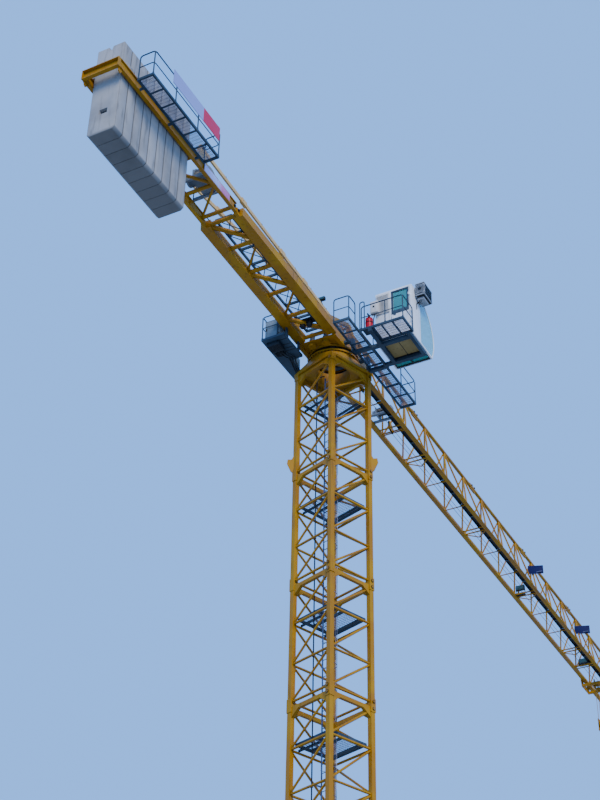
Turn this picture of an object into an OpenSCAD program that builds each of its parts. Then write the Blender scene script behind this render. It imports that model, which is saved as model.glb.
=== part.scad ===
// Tower crane with a flat top, modelled at half size, in millimetres.
// The origin is the centre of the mast foot's flat underside, +X runs along the jib, +Z is up.

/* [Mast] */
// Distance between the centre lines of the corner posts
mast_side = 850; // [760:10:1000]
// Width of each square corner post
post_w = 80; // [64:2:96]
// Height of one mast section
section_h = 2070; // [1800:10:2400]
// Height of the foot under the first section
foot_h = 590; // [500:10:800]
// Thickness of the level struts
strut_d = 44; // [34:1:54]
// Thickness of the mast diagonals
mast_diag_d = 38; // [28:1:48]
// Extra width of the pinned end blocks on the posts
knuckle_grow = 18; // [8:1:30]
// Height of a pinned end block
knuckle_h = 110; // [80:5:160]
// Diameter of the joint pins
joint_pin_d = 36; // [24:1:46]
// Turn of the mast about its own axis, measured against the jib
mast_yaw = -20; // [-45:1:45]
// Side of each foot plate
foot_plate_w = 300; // [260:5:380]
// Thickness of each foot plate
foot_plate_t = 30; // [20:1:50]
// Bolt circle of the anchor bolts in a foot plate
anchor_pcd = 270; // [230:5:300]
// Diameter of an anchor bolt hole
anchor_hole_d = 34; // [24:1:44]
// Width of the ladder between its stile centre lines
ladder_w = 200; // [160:5:240]
// Spacing of the ladder rungs
rung_pitch = 138; // [110:1:180]
// Side of the hatch in a rest platform
hatch_w = 300; // [260:5:340]

/* [Slewing] */
// Height of the skirt between the mast and the slewing ring
skirt_h = 240; // [180:5:300]
// Outer radius of the slewing ring
ring_r = 430; // [390:5:470]
// Height of each race of the slewing ring
race_h = 32; // [24:1:45]
// Radius of the way up through the ring
way_r = 300; // [240:5:330]
// Thickness of the round flanges above and below the ring
flange_t = 30; // [20:1:40]
// Running gap between the two races
race_gap = 0.4; // [0.2:0.1:0.8]

/* [Jib] */
// Height of the jib's underside over the top of the mast
jib_lift = 380; // [375:5:460]
// Where the jib starts, measured from the slewing axis
jib_start = 600; // [560:10:700]
// Length of one jib section
jib_section_l = 2900; // [2600:10:3200]
// Length of the jib head past the last section
jib_head_l = 450; // [360:10:600]
// Distance from the jib's middle to each bottom chord's centre line
chord_y = 242; // [220:2:280]
// Width of the square bottom chords
chord_w = 56; // [46:1:66]
// Width of the running ledge that stands out from a bottom chord
ledge_w = 32; // [28:1:40]
// Thickness of the running ledge
ledge_t = 10; // [6:1:14]
// Height of the top chord's centre line over the bottom chords' underside
jib_h = 1060; // [900:10:1200]
// Diameter of the jib's top chord
top_chord_d = 70; // [56:1:84]
// Diameter of the jib's side diagonals
jib_diag_d = 36; // [26:1:46]
// Diameter of the cross struts between the bottom chords
cross_d = 26; // [18:1:36]

/* [Counter jib] */
// Length of the inner section, from the slewing axis to its pinned end
inner_l = 3900; // [3400:10:4200]
// Length of the whole counter jib, from the slewing axis
counter_l = 7300; // [7250:10:7700]
// Outer half width of the inner section
inner_half_w = 385; // [380:5:440]
// Width of the inner girders, which are closed boxes
inner_box_w = 170; // [150:5:220]
// Depth of the inner girders
inner_depth = 160; // [140:5:220]
// Thickness of the struts across the inner section
brace_d = 76; // [60:2:84]
// Thickness of the inner section's heavy diagonals
heavy_brace_d = 84; // [70:2:96]
// Thickness of the inner section's thin diagonals
thin_brace_d = 44; // [34:2:54]
// Outer half width of the outer section
outer_half_w = 322; // [320:2:360]
// Flange width of the outer girders
outer_flange_w = 58; // [52:1:70]
// Depth of the outer girders
outer_depth = 175; // [150:5:200]
// Thickness of the girder flanges
flange_plate_t = 14; // [8:1:20]
// Thickness of the girder webs
web_t = 12; // [8:1:20]
// Number of slabs in the counterweight
slab_count = 9; // [5:1:9]
// Distance from one slab to the next
slab_pitch = 206; // [190:1:215]
// Gap between two slabs
slab_gap = 4; // [2:1:8]
// Half width of a slab
slab_half_w = 232; // [200:2:236]
// Depth of a slab under the girders' top
slab_drop = 1230; // [900:10:1400]
// Height of a slab over the girders' top
slab_rise = 560; // [400:10:700]
// Distance from the end channel to the far face of the slabs
slab_end_in = 135; // [100:5:200]
// Height of the tie pin over the top of the mast
tie_pin_h = 1180; // [1120:10:1240]
// Height of the tie bars' feet over the girders
tie_foot_h = 260; // [180:10:300]
// Depth of the tie bars
tie_h = 70; // [50:1:90]
// Thickness of the tie bars
tie_t = 30; // [20:1:45]

/* [Platforms] */
// Width of a platform's edge channel
edge_w = 26; // [18:1:36]
// Height of a platform's edge channel
edge_h = 44; // [30:1:60]
// Height of the guard rails
rail_h = 485; // [450:5:600]
// Diameter of the guard rail tubes
rail_d = 20; // [14:1:26]
// Thickness of the floor gratings
grating_t = 14; // [8:1:20]
// Height of the side platforms' floor over the top of the mast
side_floor = 150; // [120:5:200]

/* [Cab] */
// Length of the cab's floor along the jib
cab_l = 815; // [760:5:860]
// Width of the cab across the jib
cab_w = 685; // [640:5:700]
// Height of the cab
cab_h = 1080; // [1080:10:1180]
// Thickness of the cab's walls
cab_wall = 26; // [18:1:36]
// Radius of the curved front window
front_r = 691; // [680:1:760]
// Width of the cab door
door_w = 350; // [300:5:400]
// Height of the cab door
door_h = 990; // [900:10:990]
// Height of the solid panel under the door's window
door_sill = 540; // [400:10:640]
// Thickness of the cab door
door_t = 22; // [16:1:26]
// Thickness of the glass
glass_t = 8; // [5:1:12]
// Clearance round the door leaf
door_gap = 6; // [5:0.5:9]

/* [Trolley] */
// Where the trolley stands at rest, measured from the slewing axis
trolley_x = 14000; // [4000:100:17000]
// Length of the trolley frame
trolley_l = 620; // [500:10:760]
// Diameter of the trolley's wheels
wheel_d = 80; // [64:2:96]
// Width of a trolley wheel
wheel_t = 16; // [12:1:18]
// Gap between a wheel and what it runs on
wheel_seat = 0.3; // [0.1:0.1:0.5]
// How far the hook block hangs under the trolley
hook_drop = 900; // [700:10:1200]
// Diameter of the rope sheaves
sheave_d = 190; // [150:2:230]

/* [Hidden] */

crane_yellow = "#c8951e";
platform_grey = "#46596b";
concrete_grey = "#a9a9a5";
cab_white = "#e4e7e8";
glass_teal = "#5fb3b3";

section_count = 8;
panel_count = 3;
mast_half = mast_side / 2;
panel_h = section_h / panel_count;
mast_top = foot_h + section_count * section_h;
// Height of a diagonal's end over or under a pinned joint
node_in = 70;
joint_strut_h = 64;
joint_strut_w = 54;
// Half the width of a six-sided bar across its flats
strut_flat = strut_d / 2 * cos(30);
seat = 0.3;

ring_z = mast_top + skirt_h + flange_t;
upper_ring_z = ring_z + race_h + race_gap;
deck_z = upper_ring_z + race_h;

jib_z = mast_top + jib_lift;
bay_l = jib_section_l / 3;
chord_z = jib_z + chord_w / 2;
top_z = jib_z + jib_h;
end_in = 60;
end_cross_d = cross_d + 8;

girder_z = mast_top + jib_lift;
inner_top = girder_z + inner_depth;
outer_top = inner_top + 50;
outer_z = outer_top - outer_depth;
inner_y = inner_half_w - inner_box_w / 2;
outer_y = outer_half_w - outer_flange_w / 2;
brace_count = 5;
brace_start = 660;
brace_pitch = (inner_l - brace_start - 30) / brace_count;
brace_z = girder_z + inner_depth / 2;
// The pin that holds the jib's top chord, and the pin under it for the tie bars
apex_z = top_z;
apex_x = jib_start - 90;
apex_pin_d = 56;
tie_pin_x = apex_x - 40;
tie_pin_z = mast_top + tie_pin_h;
// The front face of the slab that is nearest to the mast
slab_front_x = -counter_l + slab_end_in + slab_count * slab_pitch - slab_gap;
tie_foot_x = slab_front_x + 265;
outer_start = -inner_l - 90 - seat;
outer_strut_1 = outer_start - 45;
outer_strut_3 = slab_front_x + 55;
// The winch and the middle strut stand at these shares of the free bay before the slabs
winch_x = outer_strut_1 + (slab_front_x - outer_strut_1) * 0.395;
outer_strut_2 = outer_strut_1 + (slab_front_x - outer_strut_1) * 0.442;

// From a platform's edge to the middle of its guard rail posts
post_in = rail_d / 2 + 2;

cab_x = -320;
cab_y = -1670;
floor_z = mast_top + side_floor;
cab_floor_t = 36;
arc_z = 374;
arc_back = sqrt(front_r * front_r - arc_z * arc_z);
cab_front = cab_x + cab_l;
// The two panes in the front of the cab's floor
pane_x0 = cab_front - 190;
pane_x1 = cab_front - 45;
pane_y = cab_y + cab_wall + 20;
pane_w = (cab_w - 2 * cab_wall - 70) / 2;

wheel_clear = 8;
wheel_y = chord_y + chord_w / 2 + wheel_clear + wheel_t / 2;
wheel_z = jib_z + ledge_t + wheel_seat + wheel_d / 2;
cheek_y = chord_y + chord_w / 2 + ledge_w + 6;

// A six-sided bar between two points
module bar(a, b, d) {
    v = b - a;
    length = norm(v);
    translate(a)
        rotate([0, acos(v[2] / length), atan2(v[1], v[0])])
            cylinder(d = d, h = length, $fn = 6);
}

// A rectangular bar between two points: w lies level, h stands in the upright plane
module beam(a, b, w, h) {
    v = b - a;
    length = norm(v);
    translate(a)
        rotate([0, acos(v[2] / length), atan2(v[1], v[0])])
            translate([-h / 2, -w / 2, 0]) cube([h, w, length]);
}

// A box between two corners
module block(low, high) {
    translate(low) cube(high - low);
}

// The children and their mirror image across the jib's upright middle plane
module both_sides() {
    children();
    mirror([0, 1, 0]) children();
}

// A flat plate standing across the jib, drawn by its outline in Y and Z
module cross_plate(x, thickness, outline) {
    translate([x, 0, 0])
        rotate([90, 0, 90]) linear_extrude(thickness) polygon(outline);
}

// A flat plate standing along the jib, drawn by its outline in X and Z
module side_plate(y, thickness, outline) {
    translate([0, y + thickness, 0])
        rotate([90, 0, 0]) linear_extrude(thickness) polygon(outline);
}

// Mast

module corner_posts(height) {
    for (k = [0:3])
        rotate([0, 0, 90 * k])
            translate([mast_half - post_w / 2, mast_half - post_w / 2, 0])
                cube([post_w, post_w, height]);
}

// The thick block at a post's end with the pin that holds two sections together
module knuckle(z) {
    w = post_w + knuckle_grow;
    pin_l = w + 28;
    translate([mast_half - w / 2, mast_half - w / 2, z]) cube([w, w, knuckle_h]);
    translate([mast_half - pin_l / 2, mast_half, z + knuckle_h / 2])
        rotate([0, 90, 0]) cylinder(d = joint_pin_d, h = pin_l, $fn = 20);
}

// The deep strut under a joint with a sloping haunch at each end
module joint_strut(z) {
    reach = 190;
    drop = 110;
    low = z - joint_strut_h;
    outline = [
        [-mast_half, z], [-mast_half, low - drop], [-mast_half + post_w / 2, low - drop],
        [-mast_half + reach, low], [mast_half - reach, low],
        [mast_half - post_w / 2, low - drop], [mast_half, low - drop], [mast_half, z]
    ];
    translate([0, mast_half + joint_strut_w / 2, 0])
        rotate([90, 0, 0]) linear_extrude(joint_strut_w) polygon(outline);
}

function level_z(p) =
    p == 0 ? node_in : p == panel_count ? section_h - joint_strut_h : p * panel_h;

module mast_bracing() {
    for (k = [0:3])
        rotate([0, 0, 90 * k]) {
            knuckle(0);
            knuckle(section_h - knuckle_h - seat);
            bar([mast_half, mast_half, node_in], [-mast_half, mast_half, node_in], strut_d);
            joint_strut(section_h - 20);
            for (p = [1:panel_count - 1])
                bar([mast_half, mast_half, p * panel_h], [-mast_half, mast_half, p * panel_h],
                    strut_d);
            for (p = [0:panel_count - 1])
                bar([mast_half, mast_half, level_z(p)], [-mast_half, mast_half, level_z(p + 1)],
                    mast_diag_d);
        }
}

// The wing plates near the top joint that a climbing frame hooks under
module climbing_lug() {
    reach = 120;
    outline = [
        [0, 60], [reach * 0.45, 90], [reach, 250], [reach * 0.9, 330], [reach * 0.35, 330],
        [0, 420]
    ];
    translate([mast_half, mast_half, 0])
        rotate([0, 0, 45])
            translate([post_w / 2, 12, 0]) rotate([90, 0, 0]) linear_extrude(24) polygon(outline);
}

module mast_section(index) {
    color(crane_yellow)
        translate([0, 0, foot_h + (index - 1) * section_h])
            rotate([0, 0, mast_yaw])
                union() {
                    corner_posts(section_h - seat);
                    mast_bracing();
                    if (index == section_count)
                        for (k = [1, 3])
                            rotate([0, 0, 90 * k]) climbing_lug();
                }
}

module foot_plate() {
    difference() {
        translate([-foot_plate_w / 2, -foot_plate_w / 2, 0])
            cube([foot_plate_w, foot_plate_w, foot_plate_t]);
        for (k = [0:3])
            rotate([0, 0, 45 + 90 * k])
                translate([anchor_pcd / 2, 0, -1])
                    cylinder(d = anchor_hole_d, h = foot_plate_t + 2, $fn = 32);
    }
}

// Crossed floor beams, four bolted plates and four stub posts that carry the mast
module mast_foot() {
    diagonal = mast_half * sqrt(2);
    cross_w = 90;
    cross_h = 150;
    plate = 16;
    color(crane_yellow)
        rotate([0, 0, mast_yaw])
            union() {
                corner_posts(foot_h - seat);
                for (k = [0:3])
                    rotate([0, 0, 90 * k]) {
                        knuckle(foot_h - knuckle_h - seat);
                        joint_strut(foot_h - 20);
                        rotate([0, 0, 45]) {
                            translate([diagonal, 0, 0]) foot_plate();
                            block([0, -cross_w / 2, 0], [diagonal, cross_w / 2, plate]);
                            block([0, -plate / 2, 0], [diagonal, plate / 2, cross_h]);
                            block([0, -cross_w / 2, cross_h - plate],
                                  [diagonal, cross_w / 2, cross_h]);
                        }
                        bar([mast_half, mast_half, 120], [-mast_half, mast_half, 120], strut_d);
                        bar([mast_half, mast_half, 120],
                            [-mast_half, mast_half, foot_h - joint_strut_h - 20], mast_diag_d);
                    }
            }
}

// Rest platforms: one in each section, on the struts of its upper level
bearer_x = 250;
bearer_h = 30;
rest_half = mast_half - post_w / 2 - 12;
function rest_z(index) =
    foot_h + (index - 1) * section_h + 2 * panel_h + strut_d / 2 + seat;

module rest_platforms() {
    frame_z = bearer_h;
    color(platform_grey)
        for (index = [1:section_count])
            translate([0, 0, rest_z(index)])
                rotate([0, 0, mast_yaw])
                    union() {
                        for (side = [-1, 1])
                            block([side * bearer_x - 15, -mast_half, 0],
                                  [side * bearer_x + 15, mast_half, bearer_h]);
                        difference() {
                            block([-rest_half, -rest_half, frame_z],
                                  [rest_half, rest_half, frame_z + edge_h]);
                            block([-rest_half + edge_w, -rest_half + edge_w, frame_z - 1],
                                  [rest_half - edge_w, rest_half - edge_w, frame_z + edge_h + 1]);
                        }
                        block([-rest_half + hatch_w, -rest_half, frame_z],
                              [-rest_half + hatch_w + edge_w, rest_half, frame_z + edge_h]);
                        block([-rest_half, -rest_half + hatch_w, frame_z],
                              [-rest_half + hatch_w + edge_w, -rest_half + hatch_w + edge_w,
                               frame_z + edge_h]);
                    }
}

module rest_gratings() {
    high = bearer_h + edge_h - grating_t;
    gap = seat;
    inner = rest_half - edge_w - gap;
    split = -rest_half + hatch_w + edge_w + gap;
    color(platform_grey)
        for (index = [1:section_count])
            translate([0, 0, rest_z(index) + high])
                rotate([0, 0, mast_yaw]) {
                    block([split, -inner, 0], [inner, inner, grating_t]);
                    block([-inner, split, 0], [split - edge_w - 2 * gap, inner, grating_t]);
                }
}

// One ladder up the inside of the mast, held off the struts by short brackets
module mast_ladder() {
    ladder_x = -rest_half + 90;
    ladder_y = -rest_half + hatch_w / 2 + edge_w / 2;
    low = 200;
    high = mast_top - 260;
    rungs = floor((high - low - 40) / rung_pitch);
    stile = 20;
    color(platform_grey)
        rotate([0, 0, mast_yaw])
            union() {
                for (side = [-1, 1]) {
                    y = ladder_y + side * ladder_w / 2;
                    block([ladder_x - 6, y - stile / 2, low], [ladder_x + 6, y + stile / 2, high]);
                    for (index = [1:section_count])
                        for (p = [1, 2]) {
                            z = foot_h + (index - 1) * section_h + p * panel_h;
                            block([-mast_half + strut_flat + seat, y - 5, z - 12],
                                  [ladder_x, y + 5, z + 12]);
                        }
                }
                for (i = [0:rungs])
                    bar([ladder_x, ladder_y - ladder_w / 2, low + 40 + i * rung_pitch],
                        [ladder_x, ladder_y + ladder_w / 2, low + 40 + i * rung_pitch], 12);
            }
}

// Slewing gear

// Skirt from the square mast top to the round ring, open in the middle
module slewing_support() {
    side = mast_side + post_w + 20;
    color(crane_yellow)
        difference() {
            union() {
                hull() {
                    translate([0, 0, mast_top])
                        rotate([0, 0, mast_yaw])
                            translate([-side / 2, -side / 2, 0]) cube([side, side, 40]);
                    translate([0, 0, mast_top + skirt_h - 10])
                        cylinder(r = ring_r - 20, h = 10, $fn = 48);
                }
                translate([0, 0, mast_top + skirt_h])
                    cylinder(r = ring_r + 20, h = flange_t, $fn = 96);
            }
            translate([0, 0, mast_top - 1]) cylinder(r = way_r, h = skirt_h + 200, $fn = 64);
        }
}

module race(z) {
    color("#6d7076")
        translate([0, 0, z])
            difference() {
                cylinder(r = ring_r, h = race_h, $fn = 96);
                translate([0, 0, -1]) cylinder(r = way_r + 30, h = race_h + 2, $fn = 96);
            }
}

module ring_lower_race() {
    race(ring_z);
}

module ring_upper_race() {
    race(upper_ring_z);
}

// Round deck on the ring with the box frame that carries the jib, the counter jib and the head
module slewing_platform() {
    box_w = 70;
    low = deck_z;
    high = girder_z + chord_w + 60;
    rear = -brace_start + 20;
    front = jib_start - seat;
    color(crane_yellow)
        union() {
            difference() {
                translate([0, 0, low]) cylinder(r = ring_r + 20, h = flange_t, $fn = 96);
                translate([0, 0, low - 1]) cylinder(r = way_r, h = flange_t + 2, $fn = 96);
            }
            both_sides() {
                block([rear, chord_y + 60, low + 1], [front - 60, chord_y + 60 + box_w, high]);
                block([front - 60, chord_y - chord_w / 2, jib_z], [front, chord_y + 60 + box_w, high]);
            }
            block([-430, -chord_y - 60, high - 120], [-330, chord_y + 60, high]);
            block([340, -chord_y - 60, high - 120], [430, chord_y + 60, high]);
        }
}

// Four raking legs that meet at two head plates. The plates hold the pin of the jib's top chord
// and, under it, the pin of the tie bars. The rear legs stand on the inner girders.
module head_frame() {
    deck = girder_z + chord_w + 60;
    leg_y = chord_y + 60 + 35;
    plate_y = 54;
    plate_t = 24;
    pin_l = 2 * (plate_y + plate_t) + 24;
    top_y = plate_y + plate_t / 2;
    shoe_h = 50;
    front_foot = [350, leg_y, deck + 34];
    front_top = [apex_x - 40, top_y, apex_z];
    rear_foot = [-960, inner_y, inner_top + 34];
    rear_top = [apex_x - 60, top_y, apex_z];
    front_mid = (front_foot + front_top) / 2;
    rear_mid = (rear_foot + rear_top) / 2;
    color(crane_yellow)
        union() {
            both_sides() {
                beam(front_foot, front_top, 56, 76);
                beam(rear_foot, rear_top, 56, 76);
                block([290, leg_y - 34, deck + seat], [410, leg_y + 34, deck + shoe_h]);
                block([-1040, inner_y - 34, inner_top + seat],
                      [-880, inner_y + 34, inner_top + shoe_h]);
                side_plate(plate_y, plate_t, [
                    [tie_pin_x - 60, tie_pin_z - 40], [tie_pin_x + 10, tie_pin_z - 66],
                    [tie_pin_x + 66, tie_pin_z - 20], [apex_x + 50, apex_z],
                    [apex_x + 20, apex_z + 54], [apex_x - 60, apex_z + 50],
                    [apex_x - 150, apex_z - 70]
                ]);
            }
            bar([rear_mid[0], -rear_mid[1], rear_mid[2]], rear_mid, 50);
            bar([front_mid[0], -front_mid[1], front_mid[2]], front_mid, 50);
            for (pin = [[apex_x, apex_z], [tie_pin_x, tie_pin_z]])
                translate([pin[0], pin_l / 2, pin[1]])
                    rotate([90, 0, 0]) cylinder(d = apex_pin_d, h = pin_l, $fn = 24);
        }
}

// Jib

// Bottom chord: a square tube with the running ledge for the trolley along its foot
module bottom_chords(x, length) {
    both_sides() {
        block([x, chord_y - chord_w / 2, jib_z], [x + length, chord_y + chord_w / 2, jib_z + chord_w]);
        block([x, chord_y, jib_z], [x + length, chord_y + chord_w / 2 + ledge_w, jib_z + ledge_t]);
    }
}

// Lugs and pin that join the top chords of two sections
module top_chord_lug(x) {
    lug_l = 130;
    block([x, -16, top_z - 62], [x + lug_l, 16, top_z + 62]);
    translate([x + lug_l / 2, 34, top_z + 30])
        rotate([90, 0, 0]) cylinder(d = 30, h = 68, $fn = 20);
}

module jib_section(index) {
    start = jib_start + (index - 1) * jib_section_l;
    end = start + jib_section_l;
    z = chord_z;
    color(crane_yellow)
        union() {
            bottom_chords(start, jib_section_l);
            translate([start, 0, top_z])
                rotate([0, 90, 0]) cylinder(d = top_chord_d, h = jib_section_l, $fn = 8);
            top_chord_lug(end - 130);
            top_chord_lug(start);
            if (index == 1)
                block([apex_x + apex_pin_d / 2 + seat, -16, top_z - 40], [start + 1, 16, top_z + 40]);
            for (p = [0:2]) {
                low_a = p == 0 ? start + end_in : start + p * bay_l;
                low_b = p == 2 ? end - end_in : start + (p + 1) * bay_l;
                high = start + (p + 0.5) * bay_l;
                both_sides() {
                    bar([low_a, chord_y, z], [high, 0, top_z], jib_diag_d);
                    bar([low_b, chord_y, z], [high, 0, top_z], jib_diag_d);
                }
            }
            for (p = [1, 2])
                bar([start + p * bay_l, -chord_y, z], [start + p * bay_l, chord_y, z], cross_d);
            for (x = [start + end_in, end - end_in])
                bar([x, -chord_y, z], [x, chord_y, z], end_cross_d);
            bar([start + end_in, chord_y, z], [start + end_in + 220, 0, z], cross_d);
            bar([start + end_in + 220, 0, z], [start + end_in, -chord_y, z], cross_d);
        }
}

// Short tapering head with the rope anchorage and a buffer for the trolley
module jib_head() {
    start = jib_start + 6 * jib_section_l;
    end = start + jib_head_l;
    z = chord_z;
    color(crane_yellow)
        union() {
            bottom_chords(start, jib_head_l);
            block([end - 50, -chord_y, jib_z], [end, chord_y, jib_z + chord_w]);
            both_sides() {
                bar([end - 30, chord_y, z], [start + 40, 0, top_z], jib_diag_d + 6);
                bar([start + 40, chord_y, z], [start + 40, 0, top_z], jib_diag_d);
                block([end - 60, chord_y, jib_z],
                      [end, chord_y + chord_w / 2 + ledge_w + 6, jib_z + 90]);
            }
            bar([start + 40, -chord_y, z], [start + 40, chord_y, z], end_cross_d);
            translate([start, 0, top_z])
                rotate([0, 90, 0]) cylinder(d = top_chord_d, h = 100, $fn = 8);
            translate([end - 110, 20, jib_z + 190])
                rotate([90, 0, 0]) cylinder(d = 150, h = 40, $fn = 40);
            block([end - 125, -26, jib_z + chord_w], [end - 95, 26, jib_z + 200]);
            block([end - 200, -26, jib_z], [end - 40, 26, jib_z + chord_w]);
        }
}

// Narrow service catwalk along the inside of the right bottom chord
module jib_catwalk() {
    y_out = -chord_y + chord_w / 2 + 14;
    y_in = y_out + 96;
    start = jib_start + 40;
    end = jib_start + 6 * jib_section_l - 40;
    z = chord_z + end_cross_d / 2 + seat;
    color(platform_grey)
        union() {
            block([start, y_out, z], [end, y_out + 8, z + 26]);
            block([start, y_in - 8, z], [end, y_in, z + 26]);
            for (k = [0:1:17])
                block([jib_start + (k + 0.5) * bay_l - 20, y_out, z],
                      [jib_start + (k + 0.5) * bay_l + 20, y_in, z + 20]);
        }
}

// Drum, gearbox and motor that haul the trolley, on two beams across the bottom chords
module trolley_winch() {
    x = jib_start + 1.5 * bay_l;
    z = jib_z + chord_w + seat;
    axis_z = z + 150;
    color(platform_grey)
        union() {
            for (dx = [-110, 110]) {
                block([x + dx - 25, -chord_y, z + 20], [x + dx + 25, chord_y, z + 50]);
                for (side = [-1, 1])
                    block([x + dx - 25, side * chord_y - 14, z],
                          [x + dx + 25, side * chord_y + 14, z + 21]);
            }
            for (y = [-110, 90])
                block([x - 120, y, z + 30], [x + 120, y + 20, z + 190]);
            translate([x, 100, axis_z]) rotate([90, 0, 0]) cylinder(d = 150, h = 200, $fn = 36);
            translate([x, 200, axis_z]) rotate([90, 0, 0]) cylinder(d = 110, h = 110, $fn = 36);
            block([x - 60, -190, z + 40], [x + 60, -110, z + 200]);
        }
}

// Counter jib

// An I girder along X
module girder(x0, x1, low, high, y_mid, width) {
    block([x0, y_mid - width / 2, low], [x1, y_mid + width / 2, low + flange_plate_t]);
    block([x0, y_mid - width / 2, high - flange_plate_t], [x1, y_mid + width / 2, high]);
    block([x0, y_mid - web_t / 2, low], [x1, y_mid + web_t / 2, high]);
}

function brace_x(k) = -brace_start - k * brace_pitch;

// Inner section: two box girders with struts and a zigzag of heavy and thin diagonals
module counter_jib_inner() {
    end = -inner_l;
    near = -brace_start + 20 - seat;
    y_in = inner_y - 22;
    color(crane_yellow)
        union() {
            both_sides() {
                block([end, inner_y - inner_box_w / 2, girder_z],
                      [near, inner_y + inner_box_w / 2, inner_top]);
                side_plate(inner_y - 30, 60, [
                    [end - 90, girder_z + 30], [end - 90, girder_z + 120],
                    [end + 60, inner_top - 20], [end + 60, girder_z], [end - 60, girder_z]
                ]);
            }
            for (k = [0:brace_count])
                bar([brace_x(k), -inner_y, brace_z], [brace_x(k), inner_y, brace_z], brace_d);
            for (k = [0:brace_count - 1]) {
                side = k % 2 == 0 ? 1 : -1;
                bar([brace_x(k), -side * y_in, brace_z], [brace_x(k + 1), side * y_in, brace_z],
                    k % 2 == 0 ? heavy_brace_d : thin_brace_d);
            }
        }
}

// Outer section: two narrow I girders that the slabs hang between, closed by an end channel
module counter_jib_outer() {
    start = outer_start;
    end = -counter_l;
    z = outer_z + 76;
    reach = outer_y - 12;
    end_w = outer_half_w - 6;
    color(crane_yellow)
        union() {
            both_sides() {
                girder(end, start, outer_z, outer_top, outer_y, outer_flange_w);
                side_plate(outer_y - 20, 40, [
                    [start, girder_z + 40], [start, inner_top - 20], [start - 420, outer_top - 6],
                    [start - 420, outer_z + 10]
                ]);
                side_plate(outer_y - 8, 16, [
                    [end - 10, outer_z + 1], [end - 10, outer_z - 60], [end + 30, outer_z - 90],
                    [end + 90, outer_z + 1]
                ]);
                block([end - 60, end_w - 14, outer_z], [end, end_w, outer_top]);
            }
            block([end - 14, -end_w, outer_z], [end, end_w, outer_top]);
            block([end - 60, -end_w, outer_z], [end, end_w, outer_z + flange_plate_t]);
            block([end - 60, -end_w, outer_top - flange_plate_t], [end, end_w, outer_top]);
            for (x = [outer_strut_1, outer_strut_2, outer_strut_3])
                bar([x, -outer_y, z], [x, outer_y, z], 68);
            bar([outer_strut_1, reach, z], [outer_strut_2, -reach, z], thin_brace_d);
            bar([outer_strut_2, -reach, z], [outer_strut_3, reach, z], 60);
        }
}

// Tie bars from the head's lower pin to tall lugs on the outer girders, each in lengths that
// are joined by pinned plates
module counter_jib_ties() {
    pin_y = 30;
    foot_z = outer_top + tie_foot_h;
    pin = [tie_pin_x, pin_y, tie_pin_z];
    foot = [tie_foot_x, outer_y, foot_z];
    along = (foot - pin) / norm(foot - pin);
    color(crane_yellow)
        both_sides()
            union() {
                beam(pin + along * (apex_pin_d / 2 + 12), foot, tie_t, tie_h);
                for (t = [0.31, 0.47, 0.73]) {
                    near = pin + (foot - pin) * t;
                    far = pin + (foot - pin) * (t + 0.03);
                    beam(near, far, tie_t + 22, tie_h + 26);
                }
                difference() {
                    translate([tie_pin_x, pin_y + 18, tie_pin_z])
                        rotate([90, 0, 0]) cylinder(d = 124, h = 36, $fn = 28);
                    translate([tie_pin_x, pin_y + 19, tie_pin_z])
                        rotate([90, 0, 0])
                            cylinder(d = apex_pin_d + 2 * seat, h = 38, $fn = 24);
                }
                side_plate(outer_y - 18, 36, [
                    [tie_foot_x - 150, outer_top + seat], [tie_foot_x + 190, outer_top + seat],
                    [tie_foot_x + 60, foot_z + 40], [tie_foot_x - 40, foot_z + 54],
                    [tie_foot_x - 70, foot_z + 10]
                ]);
            }
}

// Service walkway between the inner girders, on the heavy diagonals
module counter_jib_walkway() {
    x0 = -inner_l + 40;
    x1 = -brace_start - 60;
    z = brace_z + heavy_brace_d / 2 + seat;
    half = 150;
    bays = 8;
    pitch = (x1 - x0 - edge_w) / bays;
    color(platform_grey)
        union() {
            for (y = [-half, half - edge_w])
                block([x0, y, z], [x1, y + edge_w, z + edge_h]);
            for (k = [0:bays])
                block([x0 + k * pitch, -half, z], [x0 + k * pitch + edge_w, half, z + edge_h]);
            for (k = [0:bays - 1]) {
                a = x0 + k * pitch + 10;
                b = a + pitch;
                bar([a, -half + 10, z + 12], [b, half - 10, z + 12], 16);
                bar([a, half - 10, z + 26], [b, -half + 10, z + 26], 16);
            }
        }
}

// One hanging concrete slab: a chamfered outline with a notch on top and a nib on each side
module slab() {
    low = outer_top - slab_drop;
    high = outer_top + slab_rise;
    chamfer = 44;
    notch = 34;
    nib_h = 90;
    outline = [
        [-slab_half_w + chamfer, low], [slab_half_w - chamfer, low],
        [slab_half_w, low + chamfer], [slab_half_w, outer_top + seat],
        [outer_y + 24, outer_top + seat], [outer_y + 24, outer_top + nib_h - 20],
        [slab_half_w, outer_top + nib_h], [slab_half_w, high],
        [notch, high], [notch * 0.4, high - 70], [-notch * 0.4, high - 70], [-notch, high],
        [-slab_half_w, high], [-slab_half_w, outer_top + nib_h],
        [-outer_y - 24, outer_top + nib_h - 20], [-outer_y - 24, outer_top + seat],
        [-slab_half_w, outer_top + seat], [-slab_half_w, low + chamfer]
    ];
    difference() {
        cross_plate(0, slab_pitch - slab_gap, outline);
        block([-1, -66, mast_top - 250], [60, 66, mast_top - 160]);
    }
}

module counterweight_slabs() {
    color(concrete_grey)
        for (k = [0:slab_count - 1])
            translate([-counter_l + slab_end_in + k * slab_pitch, 0, 0]) slab();
}

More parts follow.
